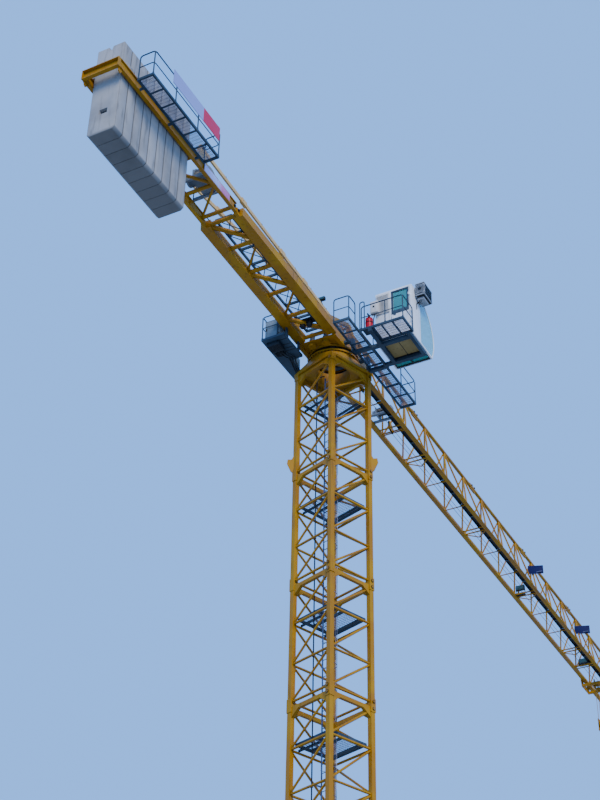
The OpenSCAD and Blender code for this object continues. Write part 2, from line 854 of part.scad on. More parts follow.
// Hoist drum, gearbox and motor on a bed over the outer girders
module hoist_winch() {
    x = winch_x;
    z = outer_top + seat;
    axis_z = z + 210;
    bed_y = outer_half_w - outer_flange_w + 10;
    color(platform_grey)
        union() {
            for (dx = [-230, 190])
                block([x + dx, -bed_y, z], [x + dx + 40, bed_y, z + 50]);
            block([x - 230, -180, z + 30], [x - 190, 180, z + 70]);
            for (y = [-170, 60])
                block([x - 160, y, z + 40], [x + 200, y + 24, z + 280]);
            block([x - 230, -170, z + 40], [x + 230, 84, z + 60]);
            translate([x, 70, axis_z]) rotate([90, 0, 0]) cylinder(d = 280, h = 230, $fn = 48);
            translate([x, 66, axis_z]) rotate([90, 0, 0]) cylinder(d = 330, h = 14, $fn = 48);
            translate([x, -132, axis_z]) rotate([90, 0, 0]) cylinder(d = 330, h = 14, $fn = 48);
            translate([x, 240, axis_z]) rotate([90, 0, 0]) cylinder(d = 170, h = 160, $fn = 36);
        }
}

// Platforms

// An open frame of edge channels with cross bearers, for a grating to lie in
module deck_frame(x0, x1, y0, y1, z, bays) {
    difference() {
        block([x0, y0, z], [x1, y1, z + edge_h]);
        block([x0 + edge_w, y0 + edge_w, z - 1], [x1 - edge_w, y1 - edge_w, z + edge_h + 1]);
    }
    step = (x1 - x0 - edge_w) / bays;
    bearer = edge_w / 2;
    for (k = [1:1:bays - 1])
        block([x0 + k * step, y0 + 1, z],
              [x0 + k * step + bearer, y1 - 1, z + edge_h - grating_t - seat]);
}

module deck_grating(x0, x1, y0, y1, z) {
    edge = edge_w + seat;
    block([x0 + edge, y0 + edge, z + edge_h - grating_t],
          [x1 - edge, y1 - edge, z + edge_h]);
}

// A guard rail along a path of floor points: posts, a middle rail and a top rail
module guard_rail(path, z) {
    for (i = [0:len(path) - 1]) {
        p = path[i];
        bar([p[0], p[1], z], [p[0], p[1], z + rail_h], rail_d);
    }
    for (i = [0:len(path) - 2])
        for (h = [rail_h / 2, rail_h - rail_d / 2]) {
            a = path[i];
            b = path[i + 1];
            bar([a[0], a[1], z + h], [b[0], b[1], z + h], rail_d);
        }
}

weight_x0 = -counter_l + 325;
weight_x1 = slab_front_x + 205;
weight_y0 = -660;
weight_y1 = -385;
module weight_platform() {
    color(platform_grey)
        union() {
            deck_frame(weight_x0, weight_x1, weight_y0, weight_y1, outer_z, 6);
            for (x = [weight_x0 + 160, (weight_x0 + weight_x1) / 2, weight_x1 - 160])
                block([x, weight_y1 - 1, outer_z],
                      [x + 30, -outer_half_w - seat, outer_z + 36]);
        }
}

// Blank panel outside the rail of the weight platform
module rail_panel() {
    outer_face = weight_y0 + post_in - rail_d / 2 * cos(30) - seat;
    low = outer_z + 330;
    high = outer_z + edge_h + rail_h + 76;
    color(cab_white)
        block([weight_x0 + 500, outer_face - 8, low], [weight_x1 - 40, outer_face, high]);
}

walk_x0 = -1130;
walk_x1 = 1590;
walk_y0 = -870;
walk_y1 = -565;
module right_walkway() {
    arm_y = -chord_y - 60 - 70;
    color(platform_grey)
        union() {
            deck_frame(walk_x0, walk_x1, walk_y0, walk_y1, floor_z, 8);
            for (x = [-330, 260]) {
                block([x, walk_y1 - 1, floor_z], [x + 70, walk_y1 + 50, deck_z + 90]);
                block([x, walk_y1, deck_z + 40], [x + 70, arm_y - seat, deck_z + 90]);
                block([x, walk_y0, floor_z - 60], [x + 70, walk_y1, floor_z + 1]);
            }
        }
}

// The left platform is wide behind the slewing ring and narrow beside it
left_x0 = -1250;
left_step_x = -560;
left_x1 = 0;
left_y0 = 305;
left_step_y = 540;
left_y1 = 740;
module left_platform() {
    color(platform_grey)
        union() {
            deck_frame(left_x0, left_step_x, left_y0, left_y1, floor_z, 4);
            deck_frame(left_step_x - edge_w, left_x1, left_step_y, left_y1, floor_z, 3);
            block([left_x0 + 4, left_y0 + 4, floor_z - 4], [left_step_x, left_y1 - 4, floor_z + 1]);
            block([left_step_x - 4, left_step_y + 4, floor_z - 4],
                  [left_x1 - 4, left_y1 - 4, floor_z + 1]);
            for (x = [-1150, -720])
                block([x, left_y0, floor_z], [x + 50, left_y0 + edge_w, girder_z - seat]);
        }
}

cab_deck_x0 = cab_x - 430;
cab_deck_x1 = cab_x - 6;
cab_deck_y0 = cab_y - 20;
cab_deck_y1 = -1100;
// The plate between the deck and the walkway, where the extinguisher stands
landing_w = 166;
landing_t = 14;
// Deck behind the cab, and the beams that carry the deck and the cab out from the walkway
module cab_platform() {
    y1 = walk_y0 - seat;
    under = floor_z - seat;
    low = floor_z - 60;
    front = cab_x + 610;
    color(platform_grey)
        union() {
            deck_frame(cab_deck_x0, cab_deck_x1, cab_deck_y0, cab_deck_y1, floor_z, 1);
            for (y = [cab_deck_y0 + 208, cab_deck_y0 + 408])
                block([cab_deck_x0, y, floor_z],
                      [cab_deck_x1, y + 14, floor_z + edge_h - grating_t - seat]);
            block([cab_deck_x0, cab_deck_y1 - 1, floor_z],
                  [cab_deck_x0 + edge_w, y1, floor_z + edge_h]);
            block([cab_deck_x0, cab_deck_y1 - 1, floor_z],
                  [cab_deck_x0 + landing_w, cab_deck_y1 + 170, floor_z + landing_t]);
            block([cab_deck_x0, cab_deck_y1, low], [front, cab_deck_y1 + 65, under]);
            block([cab_deck_x0, cab_deck_y1 - 1, low], [cab_deck_x1, cab_deck_y1 + 65, floor_z + 1]);
            block([cab_deck_x0, y1 - 34, low], [front + 90, y1, under]);
            block([cab_deck_x0, y1 - 34, low], [cab_deck_x0 + edge_w, y1, floor_z + 1]);
            for (x = [cab_x, front - 70])
                block([x, cab_y + 20, low], [x + 70, y1 - 30, under]);
            block([cab_x, cab_y + 20, low], [front, cab_y + 80, under]);
            block([cab_deck_x1 - 1, cab_y + 20, low], [cab_x + 1, cab_y + 80, under]);
            block([cab_deck_x1 - 60, cab_y + 20, low], [cab_deck_x1, cab_y + 80, floor_z + 1]);
        }
}

// Guard rails: each stands on the edge channels of its own platform
module guard_rails() {
    deck = floor_z + edge_h + seat;
    weight_bay = (weight_x1 - weight_x0) / 3;
    color(platform_grey) {
        union() guard_rail([
            [weight_x0 + post_in, weight_y1 - post_in], [weight_x0 + post_in, weight_y0 + post_in],
            [weight_x0 + weight_bay, weight_y0 + post_in],
            [weight_x1 - weight_bay, weight_y0 + post_in],
            [weight_x1 - post_in, weight_y0 + post_in], [weight_x1 - post_in, weight_y1 - post_in]
        ], outer_z + edge_h + seat);
        union() guard_rail([
            [walk_x0 + post_in, walk_y1 - post_in], [walk_x0 + post_in, walk_y0 + post_in],
            [walk_x0 + 250, walk_y0 + post_in]
        ], deck);
        union() guard_rail([
            [walk_x1 - 620, walk_y0 + post_in], [walk_x1 - post_in, walk_y0 + post_in],
            [walk_x1 - post_in, walk_y1 - post_in]
        ], deck);
        union() guard_rail([
            [left_x0 + post_in, left_y1 - 300], [left_x0 + post_in, left_y1 - post_in],
            [left_x0 + 320, left_y1 - post_in]
        ], deck);
        union() guard_rail([
            [cab_deck_x0 + post_in, walk_y0 - 40], [cab_deck_x0 + post_in, cab_deck_y0 + 340],
            [cab_deck_x0 + post_in, cab_deck_y0 + post_in],
            [cab_deck_x1 - post_in, cab_deck_y0 + post_in]
        ], deck);
    }
}

module upper_gratings() {
    color(platform_grey) {
        deck_grating(weight_x0, weight_x1, weight_y0, weight_y1, outer_z);
        deck_grating(walk_x0, walk_x1, walk_y0, walk_y1, floor_z);
        deck_grating(left_x0, left_step_x, left_y0, left_y1, floor_z);
        deck_grating(left_step_x - edge_w, left_x1, left_step_y, left_y1, floor_z);
        deck_grating(cab_deck_x0, cab_deck_x1, cab_deck_y0, cab_deck_y1, floor_z);
    }
}

// Two cabinets on the left platform, and a louvred cabinet and a small one behind the cab
module switch_cabinets() {
    deck = floor_z + edge_h + seat;
    wall = cab_x - seat;
    left = cab_y + cab_w;
    color("#8d9a9c") {
        block([left_x0 + 40, left_y0 + 105, deck], [left_x0 + 360, left_y1 - 50, deck + 370]);
        block([left_step_x + 60, left_step_y + 30, deck],
              [left_step_x + 400, left_y1 - 40, deck + 260]);
    }
    color(cab_white) {
        block([wall - 24, left - 268, floor_z + 600], [wall, left - 20, floor_z + 1030]);
        block([wall - 110, left - 90, floor_z + 600], [wall - 24 - seat, left + 55, floor_z + 850]);
    }
}

// Cab

// The cab's side outline in X and Z: straight floor, back and roof with an arc for the front
function cab_outline(inset) =
    let (
        centre_x = cab_front - arc_back,
        centre_z = floor_z + arc_z,
        r = front_r - inset,
        low = asin((inset - arc_z) / r),
        high = 62,
        steps = 14
    )
    concat(
        [[cab_x + inset, floor_z + inset]],
        [for (i = [0:steps])
            let (a = low + (high - low) * i / steps)
            [centre_x + r * cos(a), centre_z + r * sin(a)]],
        [[centre_x + r * cos(high) - 60, floor_z + cab_h - 20 - inset],
         [cab_x + inset, floor_z + cab_h - inset]]
    );

side_window_x = 25;
window_rim = 30;
door_y0 = cab_y + 40;
door_z0 = floor_z + edge_h + 12;

module side_window_outline(grow) {
    intersection() {
        polygon(cab_outline(window_rim - grow));
        translate([side_window_x - grow, floor_z]) square([cab_l, cab_h]);
    }
}

hinge_x = cab_x - 10;
hinge_y = door_y0 + 3;
hinge_d = 16;
hinge_h = 50;
hinge_z = [door_z0 + 120, door_z0 + door_h - 180];

// The shell's half of each door hinge: a knuckle on a short arm
module shell_hinges() {
    for (z = hinge_z) {
        translate([hinge_x, hinge_y, z - 24 - seat]) cylinder(d = hinge_d, h = 24, $fn = 20);
        block([hinge_x - 5, hinge_y - 18, z - 24 - seat], [cab_x + 1, hinge_y - 4, z - seat]);
    }
}

module cab_shell() {
    window_back = cab_front - arc_back + front_r * cos(60);
    color(cab_white)
        union() {
            shell_hinges();
            difference() {
                side_plate(cab_y, cab_w, cab_outline(0));
                side_plate(cab_y + cab_wall, cab_w - 2 * cab_wall, cab_outline(cab_wall));
                // Floor opening, filled by the floor
                block([cab_x + cab_wall, cab_y + cab_wall, floor_z - 1],
                      [cab_front - 1, cab_y + cab_w - cab_wall, floor_z + cab_wall + 1]);
                // Side windows
                translate([0, cab_y + cab_w + 1, 0])
                    rotate([90, 0, 0]) linear_extrude(cab_w + 2) side_window_outline(0);
                // Front window
                block([window_back, cab_y + cab_wall, floor_z + 20],
                      [cab_front + front_r, cab_y + cab_w - cab_wall, floor_z + cab_h - 60]);
                // Doorway
                block([cab_x - 1, door_y0, door_z0 - door_gap],
                      [cab_x + cab_wall + 1, door_y0 + door_w, door_z0 + door_h]);
            }
        }
}

// Floor plate with cut-outs for two boards and, in front of them, two panes
board_x0 = cab_x + 80;
board_y = cab_y + 80;
board_w = 242;
module cab_floor() {
    color("#3b444c")
        difference() {
            block([cab_x + cab_wall + seat, cab_y + cab_wall + seat, floor_z],
                  [cab_front - 20, cab_y + cab_w - cab_wall - seat, floor_z + cab_floor_t]);
            for (side = [0, 1]) {
                block([pane_x0, pane_y + side * (pane_w + 30), floor_z - 1],
                      [pane_x1, pane_y + side * (pane_w + 30) + pane_w, floor_z + cab_floor_t + 1]);
                block([board_x0, board_y + side * (board_w + 8), floor_z - 1],
                      [board_x0 + 430, board_y + side * (board_w + 8) + board_w, floor_z + 24]);
            }
        }
}

module cab_floor_boards() {
    color("#7d7461")
        for (side = [0, 1])
            block([board_x0 + seat, board_y + side * (board_w + 8) + seat, floor_z + 4],
                  [board_x0 + 430 - seat, board_y + side * (board_w + 8) + board_w - seat,
                   floor_z + 24 - seat]);
}

module cab_glass() {
    centre_x = cab_front - arc_back;
    centre_z = floor_z + arc_z;
    r = front_r - 4;
    low = -31;
    high = 59;
    steps = 16;
    gap = seat;
    outline = concat(
        [for (i = [0:steps])
            let (a = low + (high - low) * i / steps)
            [centre_x + r * cos(a), centre_z + r * sin(a)]],
        [for (i = [0:steps])
            let (a = high - (high - low) * i / steps)
            [centre_x + (r - glass_t) * cos(a), centre_z + (r - glass_t) * sin(a)]]
    );
    color(glass_teal, 0.5) {
        side_plate(cab_y + cab_wall + gap, cab_w - 2 * cab_wall - 2 * gap, outline);
        for (y = [cab_y + 6, cab_y + cab_w - 6 - glass_t])
            translate([0, y + glass_t, 0])
                rotate([90, 0, 0]) linear_extrude(glass_t) side_window_outline(-gap);
        for (side = [0, 1])
            block([pane_x0 + gap, pane_y + side * (pane_w + 30) + gap, floor_z + 10],
                  [pane_x1 - gap, pane_y + side * (pane_w + 30) + pane_w - gap,
                   floor_z + 10 + glass_t]);
    }
}

door_rim = 34;
module cab_door() {
    x0 = cab_x - 2;
    y0 = door_y0 + door_gap;
    y1 = door_y0 + door_w - door_gap;
    z0 = door_z0;
    z1 = door_z0 + door_h - door_gap;
    color(cab_white)
        union() {
            difference() {
                block([x0, y0, z0], [x0 + door_t, y1, z1]);
                block([x0 - 1, y0 + door_rim, z0 + door_sill],
                      [x0 + door_t + 1, y1 - door_rim, z1 - door_rim]);
            }
            block([x0 - 26, y1 - 40, z0 + 350], [x0 + 1, y1 - 16, z0 + 440]);
            for (z = hinge_z) {
                translate([hinge_x, hinge_y, z]) cylinder(d = hinge_d, h = hinge_h, $fn = 20);
                block([hinge_x, hinge_y + 1, z], [x0 + 1, y0 + 20, z + hinge_h]);
            }
        }
}

module door_glass() {
    x0 = cab_x - 2;
    y0 = door_y0 + door_gap;
    y1 = door_y0 + door_w - door_gap;
    z1 = door_z0 + door_h - door_gap;
    color(glass_teal, 0.5)
        block([x0 + 7, y0 + door_rim + seat, door_z0 + door_sill + seat],
              [x0 + 7 + glass_t, y1 - door_rim - seat, z1 - door_rim - seat]);
}

// Cooling unit on brackets at the top of the cab's right side
module air_conditioner() {
    y1 = cab_y - seat;
    x0 = cab_x + 120;
    z0 = floor_z + cab_h - 253;
    color("#9aa3a8")
        union() {
            block([x0, y1 - 190, z0 + 60], [x0 + 330, y1 - 20, z0 + 330]);
            block([x0 + 60, y1 - 150, z0], [x0 + 270, y1 - 30, z0 + 61]);
            for (x = [x0 + 30, x0 + 270])
                block([x, y1 - 60, z0 + 100], [x + 30, y1, z0 + 140]);
            translate([x0 - 6, y1 - 105, z0 + 195]) rotate([0, 90, 0]) cylinder(d = 200, h = 20, $fn = 32);
        }
}

module fire_extinguisher() {
    barrel_d = 130;
    barrel_h = 260;
    x = cab_deck_x0 + edge_w + barrel_d / 2 + 3;
    y = cab_deck_y1 + 82;
    z = floor_z + landing_t + seat;
    color("#b01f24")
        union() {
            translate([x, y, z]) cylinder(d = barrel_d, h = barrel_h, $fn = 28);
            translate([x, y, z + barrel_h - 1]) cylinder(d1 = barrel_d - 12, d2 = 50, h = 36, $fn = 28);
            translate([x, y, z + barrel_h + 34]) cylinder(d = 28, h = 34, $fn = 16);
        }
}

// Trolley

module trolley_frame() {
    x0 = trolley_x - trolley_l / 2;
    x1 = trolley_x + trolley_l / 2;
    low = jib_z - 150;
    under = jib_z - 12;
    color(crane_yellow)
        union() {
            both_sides() {
                side_plate(cheek_y, 12, [
                    [x0, wheel_z - 30], [x0 + 40, wheel_z + 40], [x0 + 150, wheel_z + 40],
                    [x0 + 200, under - 20], [x1 - 200, under - 20], [x1 - 150, wheel_z + 40],
                    [x1 - 40, wheel_z + 40], [x1, wheel_z - 30], [x1 - 60, low], [x0 + 60, low]
                ]);
                for (x = [x0 + 95, x1 - 95])
                    translate([x, cheek_y + 1, wheel_z])
                        rotate([90, 0, 0])
                            cylinder(d = 24, h = cheek_y + 1 - wheel_y - wheel_t / 2 - seat, $fn = 20);
            }
            for (x = [x0 + 70, x1 - 110])
                block([x, -cheek_y - 1, low], [x + 40, cheek_y + 1, low + 60]);
            for (y = [-90, 60])
                block([x0 + 70, y, low + 2], [x1 - 70, y + 30, low + 58]);
        }
}

module trolley_wheels() {
    x0 = trolley_x - trolley_l / 2;
    x1 = trolley_x + trolley_l / 2;
    color("#3a3a3c")
        both_sides()
            for (x = [x0 + 95, x1 - 95])
                translate([x, wheel_y + wheel_t / 2, wheel_z])
                    rotate([90, 0, 0]) cylinder(d = wheel_d, h = wheel_t, $fn = 48);
}

// Hook block with two sheaves on four falls of rope, parked close under the trolley
module hook_block() {
    low = jib_z - 150;
    axis_z = low - hook_drop;
    rope_d = 12;
    rope_x = sheave_d / 2;
    color("#c8951e")
        union() {
            for (y = [-52, 28])
                translate([trolley_x, y + 24, axis_z])
                    rotate([90, 0, 0]) cylinder(d = sheave_d, h = 24, $fn = 48);
            for (y = [-72, 60])
                block([trolley_x - 60, y, axis_z - 190], [trolley_x + 60, y + 12, axis_z + 110]);
            block([trolley_x - 60, -72, axis_z - 190], [trolley_x + 60, 72, axis_z - 130]);
            translate([trolley_x, 72, axis_z]) rotate([90, 0, 0]) cylinder(d = 40, h = 144, $fn = 24);
            translate([trolley_x, 0, axis_z - 250]) cylinder(d = 44, h = 70, $fn = 24);
            translate([trolley_x, 12, axis_z - 320])
                rotate([90, 0, 0])
                    rotate_extrude(angle = 250, $fn = 40) translate([62, 0]) square([30, 24]);
            for (y = [-40, 40])
                for (side = [-1, 1])
                    bar([trolley_x + side * (rope_x - 4), y, axis_z],
                        [trolley_x + side * (rope_x - 4), y, low + 40], rope_d);
            for (side = [-1, 1])
                block([trolley_x + side * (rope_x - 4) - 14, -59.5, low + 3],
                      [trolley_x + side * (rope_x - 4) + 14, 59.5, low + 50]);
        }
}

mast_foot();
mast_section(1);  // mast_section_1
mast_section(2);  // mast_section_2
mast_section(3);  // mast_section_3
mast_section(4);  // mast_section_4
mast_section(5);  // mast_section_5
mast_section(6);  // mast_section_6
mast_section(7);  // mast_section_7
mast_section(8);  // mast_section_8
rest_platforms();
rest_gratings();
mast_ladder();
slewing_support();
ring_lower_race();
ring_upper_race();
slewing_platform();
head_frame();
jib_section(1);  // jib_section_1
jib_section(2);  // jib_section_2
jib_section(3);  // jib_section_3
jib_section(4);  // jib_section_4
jib_section(5);  // jib_section_5
jib_section(6);  // jib_section_6
jib_head();
jib_catwalk();
trolley_winch();
counter_jib_inner();
counter_jib_outer();
counter_jib_ties();
counter_jib_walkway();
counterweight_slabs();
hoist_winch();
weight_platform();
right_walkway();
left_platform();
guard_rails();
rail_panel();
upper_gratings();
switch_cabinets();
cab_platform();
cab_shell();
cab_floor();
cab_floor_boards();
cab_glass();
cab_door();
door_glass();
air_conditioner();
fire_extinguisher();
trolley_frame();
trolley_wheels();
hook_block();
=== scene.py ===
"""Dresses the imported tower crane: finishes, open gratings, rails, ropes, fittings and the studio.

The CAD model arrives as a fixed frame in metres at half the real size. The origin is the centre of
the mast foot, +X runs along the jib and +Z is up.
"""

import logging
from collections.abc import Iterable, Sequence
from dataclasses import dataclass
from enum import Enum
from math import cos, pi, radians, sin

import bmesh
import bpy
from mathutils import Matrix, Vector


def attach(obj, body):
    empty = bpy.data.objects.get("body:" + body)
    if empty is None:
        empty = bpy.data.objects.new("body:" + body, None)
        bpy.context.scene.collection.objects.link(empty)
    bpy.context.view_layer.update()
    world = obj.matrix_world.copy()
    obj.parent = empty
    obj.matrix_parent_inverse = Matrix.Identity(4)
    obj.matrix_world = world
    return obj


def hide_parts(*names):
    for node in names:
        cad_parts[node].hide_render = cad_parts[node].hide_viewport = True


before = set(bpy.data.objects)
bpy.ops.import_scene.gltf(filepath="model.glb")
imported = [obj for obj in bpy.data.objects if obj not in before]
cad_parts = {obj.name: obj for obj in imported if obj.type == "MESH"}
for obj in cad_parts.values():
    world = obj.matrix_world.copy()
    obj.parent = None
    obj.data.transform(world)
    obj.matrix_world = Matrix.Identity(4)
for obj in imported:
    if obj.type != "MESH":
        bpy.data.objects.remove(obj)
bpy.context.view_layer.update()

log = logging.getLogger("tower_crane")

Point = tuple[float, float, float]
PlanPoint = tuple[float, float]
Numbers = Sequence[float]
Mesh = bmesh.types.BMesh
Node = bpy.types.Node
Socket = bpy.types.NodeSocket
Tree = bpy.types.NodeTree
MM = 0.001
SEAT = 0.3 * MM
CORNER_STEPS = 4


class Body(Enum):
    """The CAD bodies that a piece can ride on."""

    TOWER = "tower"
    UPPERWORKS = "upperworks"
    CAB_DOOR = "cab_door"
    TROLLEY = "trolley"


class Slot(Enum):
    """The record's material slots."""

    CRANE_YELLOW = "crane_yellow"
    PLATFORM_STEEL = "platform_steel"
    GRATING = "grating"
    BEARING_STEEL = "bearing_steel"
    WINCH_GREY = "winch_grey"
    CONCRETE = "concrete"
    CABINET_GREY = "cabinet_grey"
    CAB_WHITE = "cab_white"
    TINTED_GLASS = "tinted_glass"
    COOLER_GREY = "cooler_grey"
    WHEEL_STEEL = "wheel_steel"
    PANEL_WHITE = "panel_white"


@dataclass(frozen=True)
class Layout:
    """The CAD model's main places, in metres, that several sub-assemblies start from.

    Args:
        sections: how many sections the mast has.
        mast_turn: the mast's turn about its own axis, in radians.
        mast_half: from the mast's axis to the middle of its posts, across a face.
        foot_h: the height of the foot under the first section.
        section_h: the height of a mast section.
        panels: how many panels a mast section has.
        mast_top: the height of the mast's top.
        ring_z: the underside of the slewing ring's lower race.
        deck_z: the underside of the slewing platform's deck.
        jib_z: the underside of the jib and of the inner girders.
        jib_start: where the jib begins.
        jib_section: the length of a jib section.
        jib_sections: how many whole sections the jib has.
        chord_y: from the jib's middle to a bottom chord's middle.
        chord: the width of a bottom chord.
        top_z: the height of the top chord's middle.
        inner_top: the top of the inner girders.
        outer_z: the underside of the outer girders.
        outer_top: their top.
        floor_z: the underside of the side platforms' edge channels.
        edge_h: the height of those channels.
    """

    sections: int = 8
    mast_turn: float = radians(-20)
    mast_half: float = 0.425
    foot_h: float = 0.590
    section_h: float = 2.070
    panels: int = 3
    mast_top: float = 17.150
    ring_z: float = 17.420
    deck_z: float = 17.4844
    jib_z: float = 17.530
    jib_start: float = 0.600
    jib_section: float = 2.900
    jib_sections: int = 6
    chord_y: float = 0.242
    chord: float = 0.056
    top_z: float = 18.590
    inner_top: float = 17.690
    outer_z: float = 17.565
    outer_top: float = 17.740
    floor_z: float = 17.300
    edge_h: float = 0.044

    @property
    def panel_h(self) -> float:
        """The height of one panel of a mast section."""
        return self.section_h / self.panels

    @property
    def jib_end(self) -> float:
        """Where the last whole jib section ends."""
        return self.jib_start + self.jib_sections * self.jib_section

    @property
    def chord_z(self) -> float:
        """The middle height of the bottom chords."""
        return self.jib_z + self.chord / 2


CRANE = Layout()


# Materials


def to_linear(colour: str) -> tuple[float, float, float, float]:
    """Turns an sRGB hex colour into the linear one that the shaders take.

    Args:
        colour: the colour as "#rrggbb".

    Returns:
        Linear red, green, blue and an alpha of 1.
    """
    channels = [int(colour[i : i + 2], 16) / 255 for i in (1, 3, 5)]
    linear = [c / 12.92 if c <= 0.04045 else ((c + 0.055) / 1.055) ** 2.4 for c in channels]
    return (linear[0], linear[1], linear[2], 1.0)


def feed(node: Node, values: dict[str | int, object]) -> None:
    """Sets a node's properties and inputs, and links the sockets that feed it.

    Args:
        node: the node that gets them.
        values: a value, a hex colour or the socket that feeds it, for each property or input, by
            its name or its number.
    """
    for key, value in values.items():
        if isinstance(value, Socket):
            node.id_data.links.new(value, node.inputs[key])
        elif isinstance(key, str) and hasattr(node, key):
            setattr(node, key, value)
        else:
            is_colour = isinstance(value, str)
            node.inputs[key].default_value = to_linear(value) if is_colour else value


def add_node(tree: Tree, kind: str, values: dict[str | int, object] | None = None) -> Node:
    """Adds one node with its settings and its links.

    Args:
        tree: the node tree that gets the node.
        kind: Blender's name for the node's type.
        values: what its properties and inputs get, as feed takes it.

    Returns:
        The new node.
    """
    node = tree.nodes.new(kind)
    feed(node, values or {})
    return node


@dataclass(frozen=True)
class Patches:
    """A mask of soft patches that have one real size.

    Args:
        size_mm: how wide a patch is.
        low: the share of the noise below which the mask is 0.
        high: the share above which it has its full strength.
        stretch: how much longer a patch is along X, Y and Z.
        detail: how many finer octaves break up its edge.
        strength: the mask's value inside a patch.
    """

    size_mm: float
    low: float = 0.4
    high: float = 0.6
    stretch: Point = (1.0, 1.0, 1.0)
    detail: float = 3.0
    strength: float = 1.0

    def add(self, tree: Tree, place: Socket) -> Socket:
        """Adds the mask's nodes to a tree.

        Args:
            tree: the material's node tree.
            place: the socket of the object's own coordinates.

        Returns:
            The socket that carries the mask.
        """
        shrink = tuple(1 / s for s in self.stretch)
        turned = add_node(tree, "ShaderNodeMapping", {"Vector": place, "Scale": shrink})
        noise = add_node(tree, "ShaderNodeTexNoise", {
            "Vector": turned.outputs[0], "Scale": 1 / (self.size_mm * MM), "Detail": self.detail,
        })
        return add_node(tree, "ShaderNodeMapRange", {
            "Value": noise.outputs["Fac"], "interpolation_type": "SMOOTHSTEP",
            "From Min": self.low, "From Max": self.high, "To Max": self.strength,
        }).outputs[0]


@dataclass(frozen=True)
class Finish:
    """A finish that is built once and shared by every piece that has it.

    Args:
        name: the material's name.
    """

    name: str

    def material(self) -> bpy.types.Material:
        """Returns the finish's material, building it on first use."""
        return bpy.data.materials.get(self.name) or self.build()

    def build(self) -> bpy.types.Material:
        """Builds the material from an empty Principled shader.

        Returns:
            The material.
        """
        made = bpy.data.materials.new(self.name)
        made.use_nodes = True
        tree = made.node_tree
        place = add_node(tree, "ShaderNodeTexCoord").outputs["Object"]
        self.dress(tree, tree.nodes["Principled BSDF"], place)
        return made

    def dress(self, tree: Tree, shader: Node, place: Socket) -> None:
        """Adds the finish's patterns to its shader; each finish has its own.

        Args:
            tree: the material's node tree.
            shader: its Principled shader.
            place: the socket of the object's own coordinates.
        """
        raise NotImplementedError


@dataclass(frozen=True)
class Enamel(Finish):
    """Enamel sprayed on steel: even colour, chalked patches and rain streaks.

    Args:
        coat: the sound coat's colour.
        chalked: its colour where the weather has chalked it.
        grime: the colour of the dirt in the rain streaks.
        gloss: the roughness of the sound coat.
        patch_mm: how wide a chalked patch is.
        streak_mm: how wide a streak is.
        grime_share: how much of the coat a streak hides.
        chalk_share: how much of it a chalked patch bleaches.
        shine: how strongly its surface mirrors the light.
    """

    coat: str
    chalked: str
    grime: str
    gloss: float = 0.42
    patch_mm: float = 420.0
    streak_mm: float = 60.0
    grime_share: float = 0.35
    chalk_share: float = 0.8
    shine: float = 0.22
    def base_colour(self, tree: Tree, place: Socket) -> Socket | str:
        """Returns the sound coat's colour; a finish of two colours has its own."""
        return self.coat

    def dress(self, tree: Tree, shader: Node, place: Socket) -> None:
        """Bleaches and streaks the coat, and gives it a dusty grain."""
        chalk = Patches(self.patch_mm, 0.42, 0.66).add(tree, place)
        streaks = Patches(self.streak_mm, 0.56, 0.74, (1, 1, 9), strength=self.grime_share)
        dust = Patches(9, 0.3, 0.7).add(tree, place)
        bleach = add_node(
            tree, "ShaderNodeMath", {"operation": "MULTIPLY", 0: chalk, 1: self.chalk_share}
        )
        coat = add_node(tree, "ShaderNodeMix", {
            "data_type": "RGBA", 0: bleach.outputs[0],
            6: self.base_colour(tree, place), 7: self.chalked,
        })
        dirty = add_node(tree, "ShaderNodeMix", {
            "data_type": "RGBA", 0: streaks.add(tree, place), 6: coat.outputs[2], 7: self.grime,
        })
        rough = add_node(tree, "ShaderNodeMapRange", {
            "Value": chalk, "To Min": self.gloss, "To Max": min(self.gloss + 0.22, 1.0),
        })
        bump = add_node(
            tree, "ShaderNodeBump", {"Strength": 0.12, "Distance": 0.4 * MM, "Height": dust}
        )
        feed(shader, {
            "Base Color": dirty.outputs[2], "Roughness": rough.outputs[0],
            "Normal": bump.outputs[0], "Specular IOR Level": self.shine,
        })


@dataclass(frozen=True)
class Split:
    """Two colours that meet at one place along an axis.

    Args:
        axis: "X", "Y" or "Z".
        at: where the second colour starts.
        blend: over what length the first one runs into it.
    """

    axis: str
    at: float
    blend: float

    def add(self, tree: Tree, place: Socket, first: str, second: str) -> Socket:
        """Adds the two colours' nodes to a tree.

        Args:
            tree: the material's node tree.
            place: the socket of the object's own coordinates.
            first: the colour before the place where they meet.
            second: the colour after it.

        Returns:
            The socket that carries the colour.
        """
        parts = add_node(tree, "ShaderNodeSeparateXYZ", {0: place})
        side = add_node(tree, "ShaderNodeMapRange", {
            "Value": parts.outputs[self.axis], "From Min": self.at - self.blend, "From Max": self.at,
        })
        return add_node(
            tree, "ShaderNodeMix", {"data_type": "RGBA", 0: side.outputs[0], 6: first, 7: second}
        ).outputs[2]


@dataclass(frozen=True)
class TwoToneEnamel(Enamel):
    """Enamel in two colours that meet at one place on the part.

    Args:
        second: the colour past that place.
        split: where the two meet.
    """

    second: str = "#ffffff"
    split: Split = Split("X", 0.0, 2 * MM)

    def base_colour(self, tree: Tree, place: Socket) -> Socket:
        """Returns the socket of the two colours."""
        return self.split.add(tree, place, self.coat, self.second)


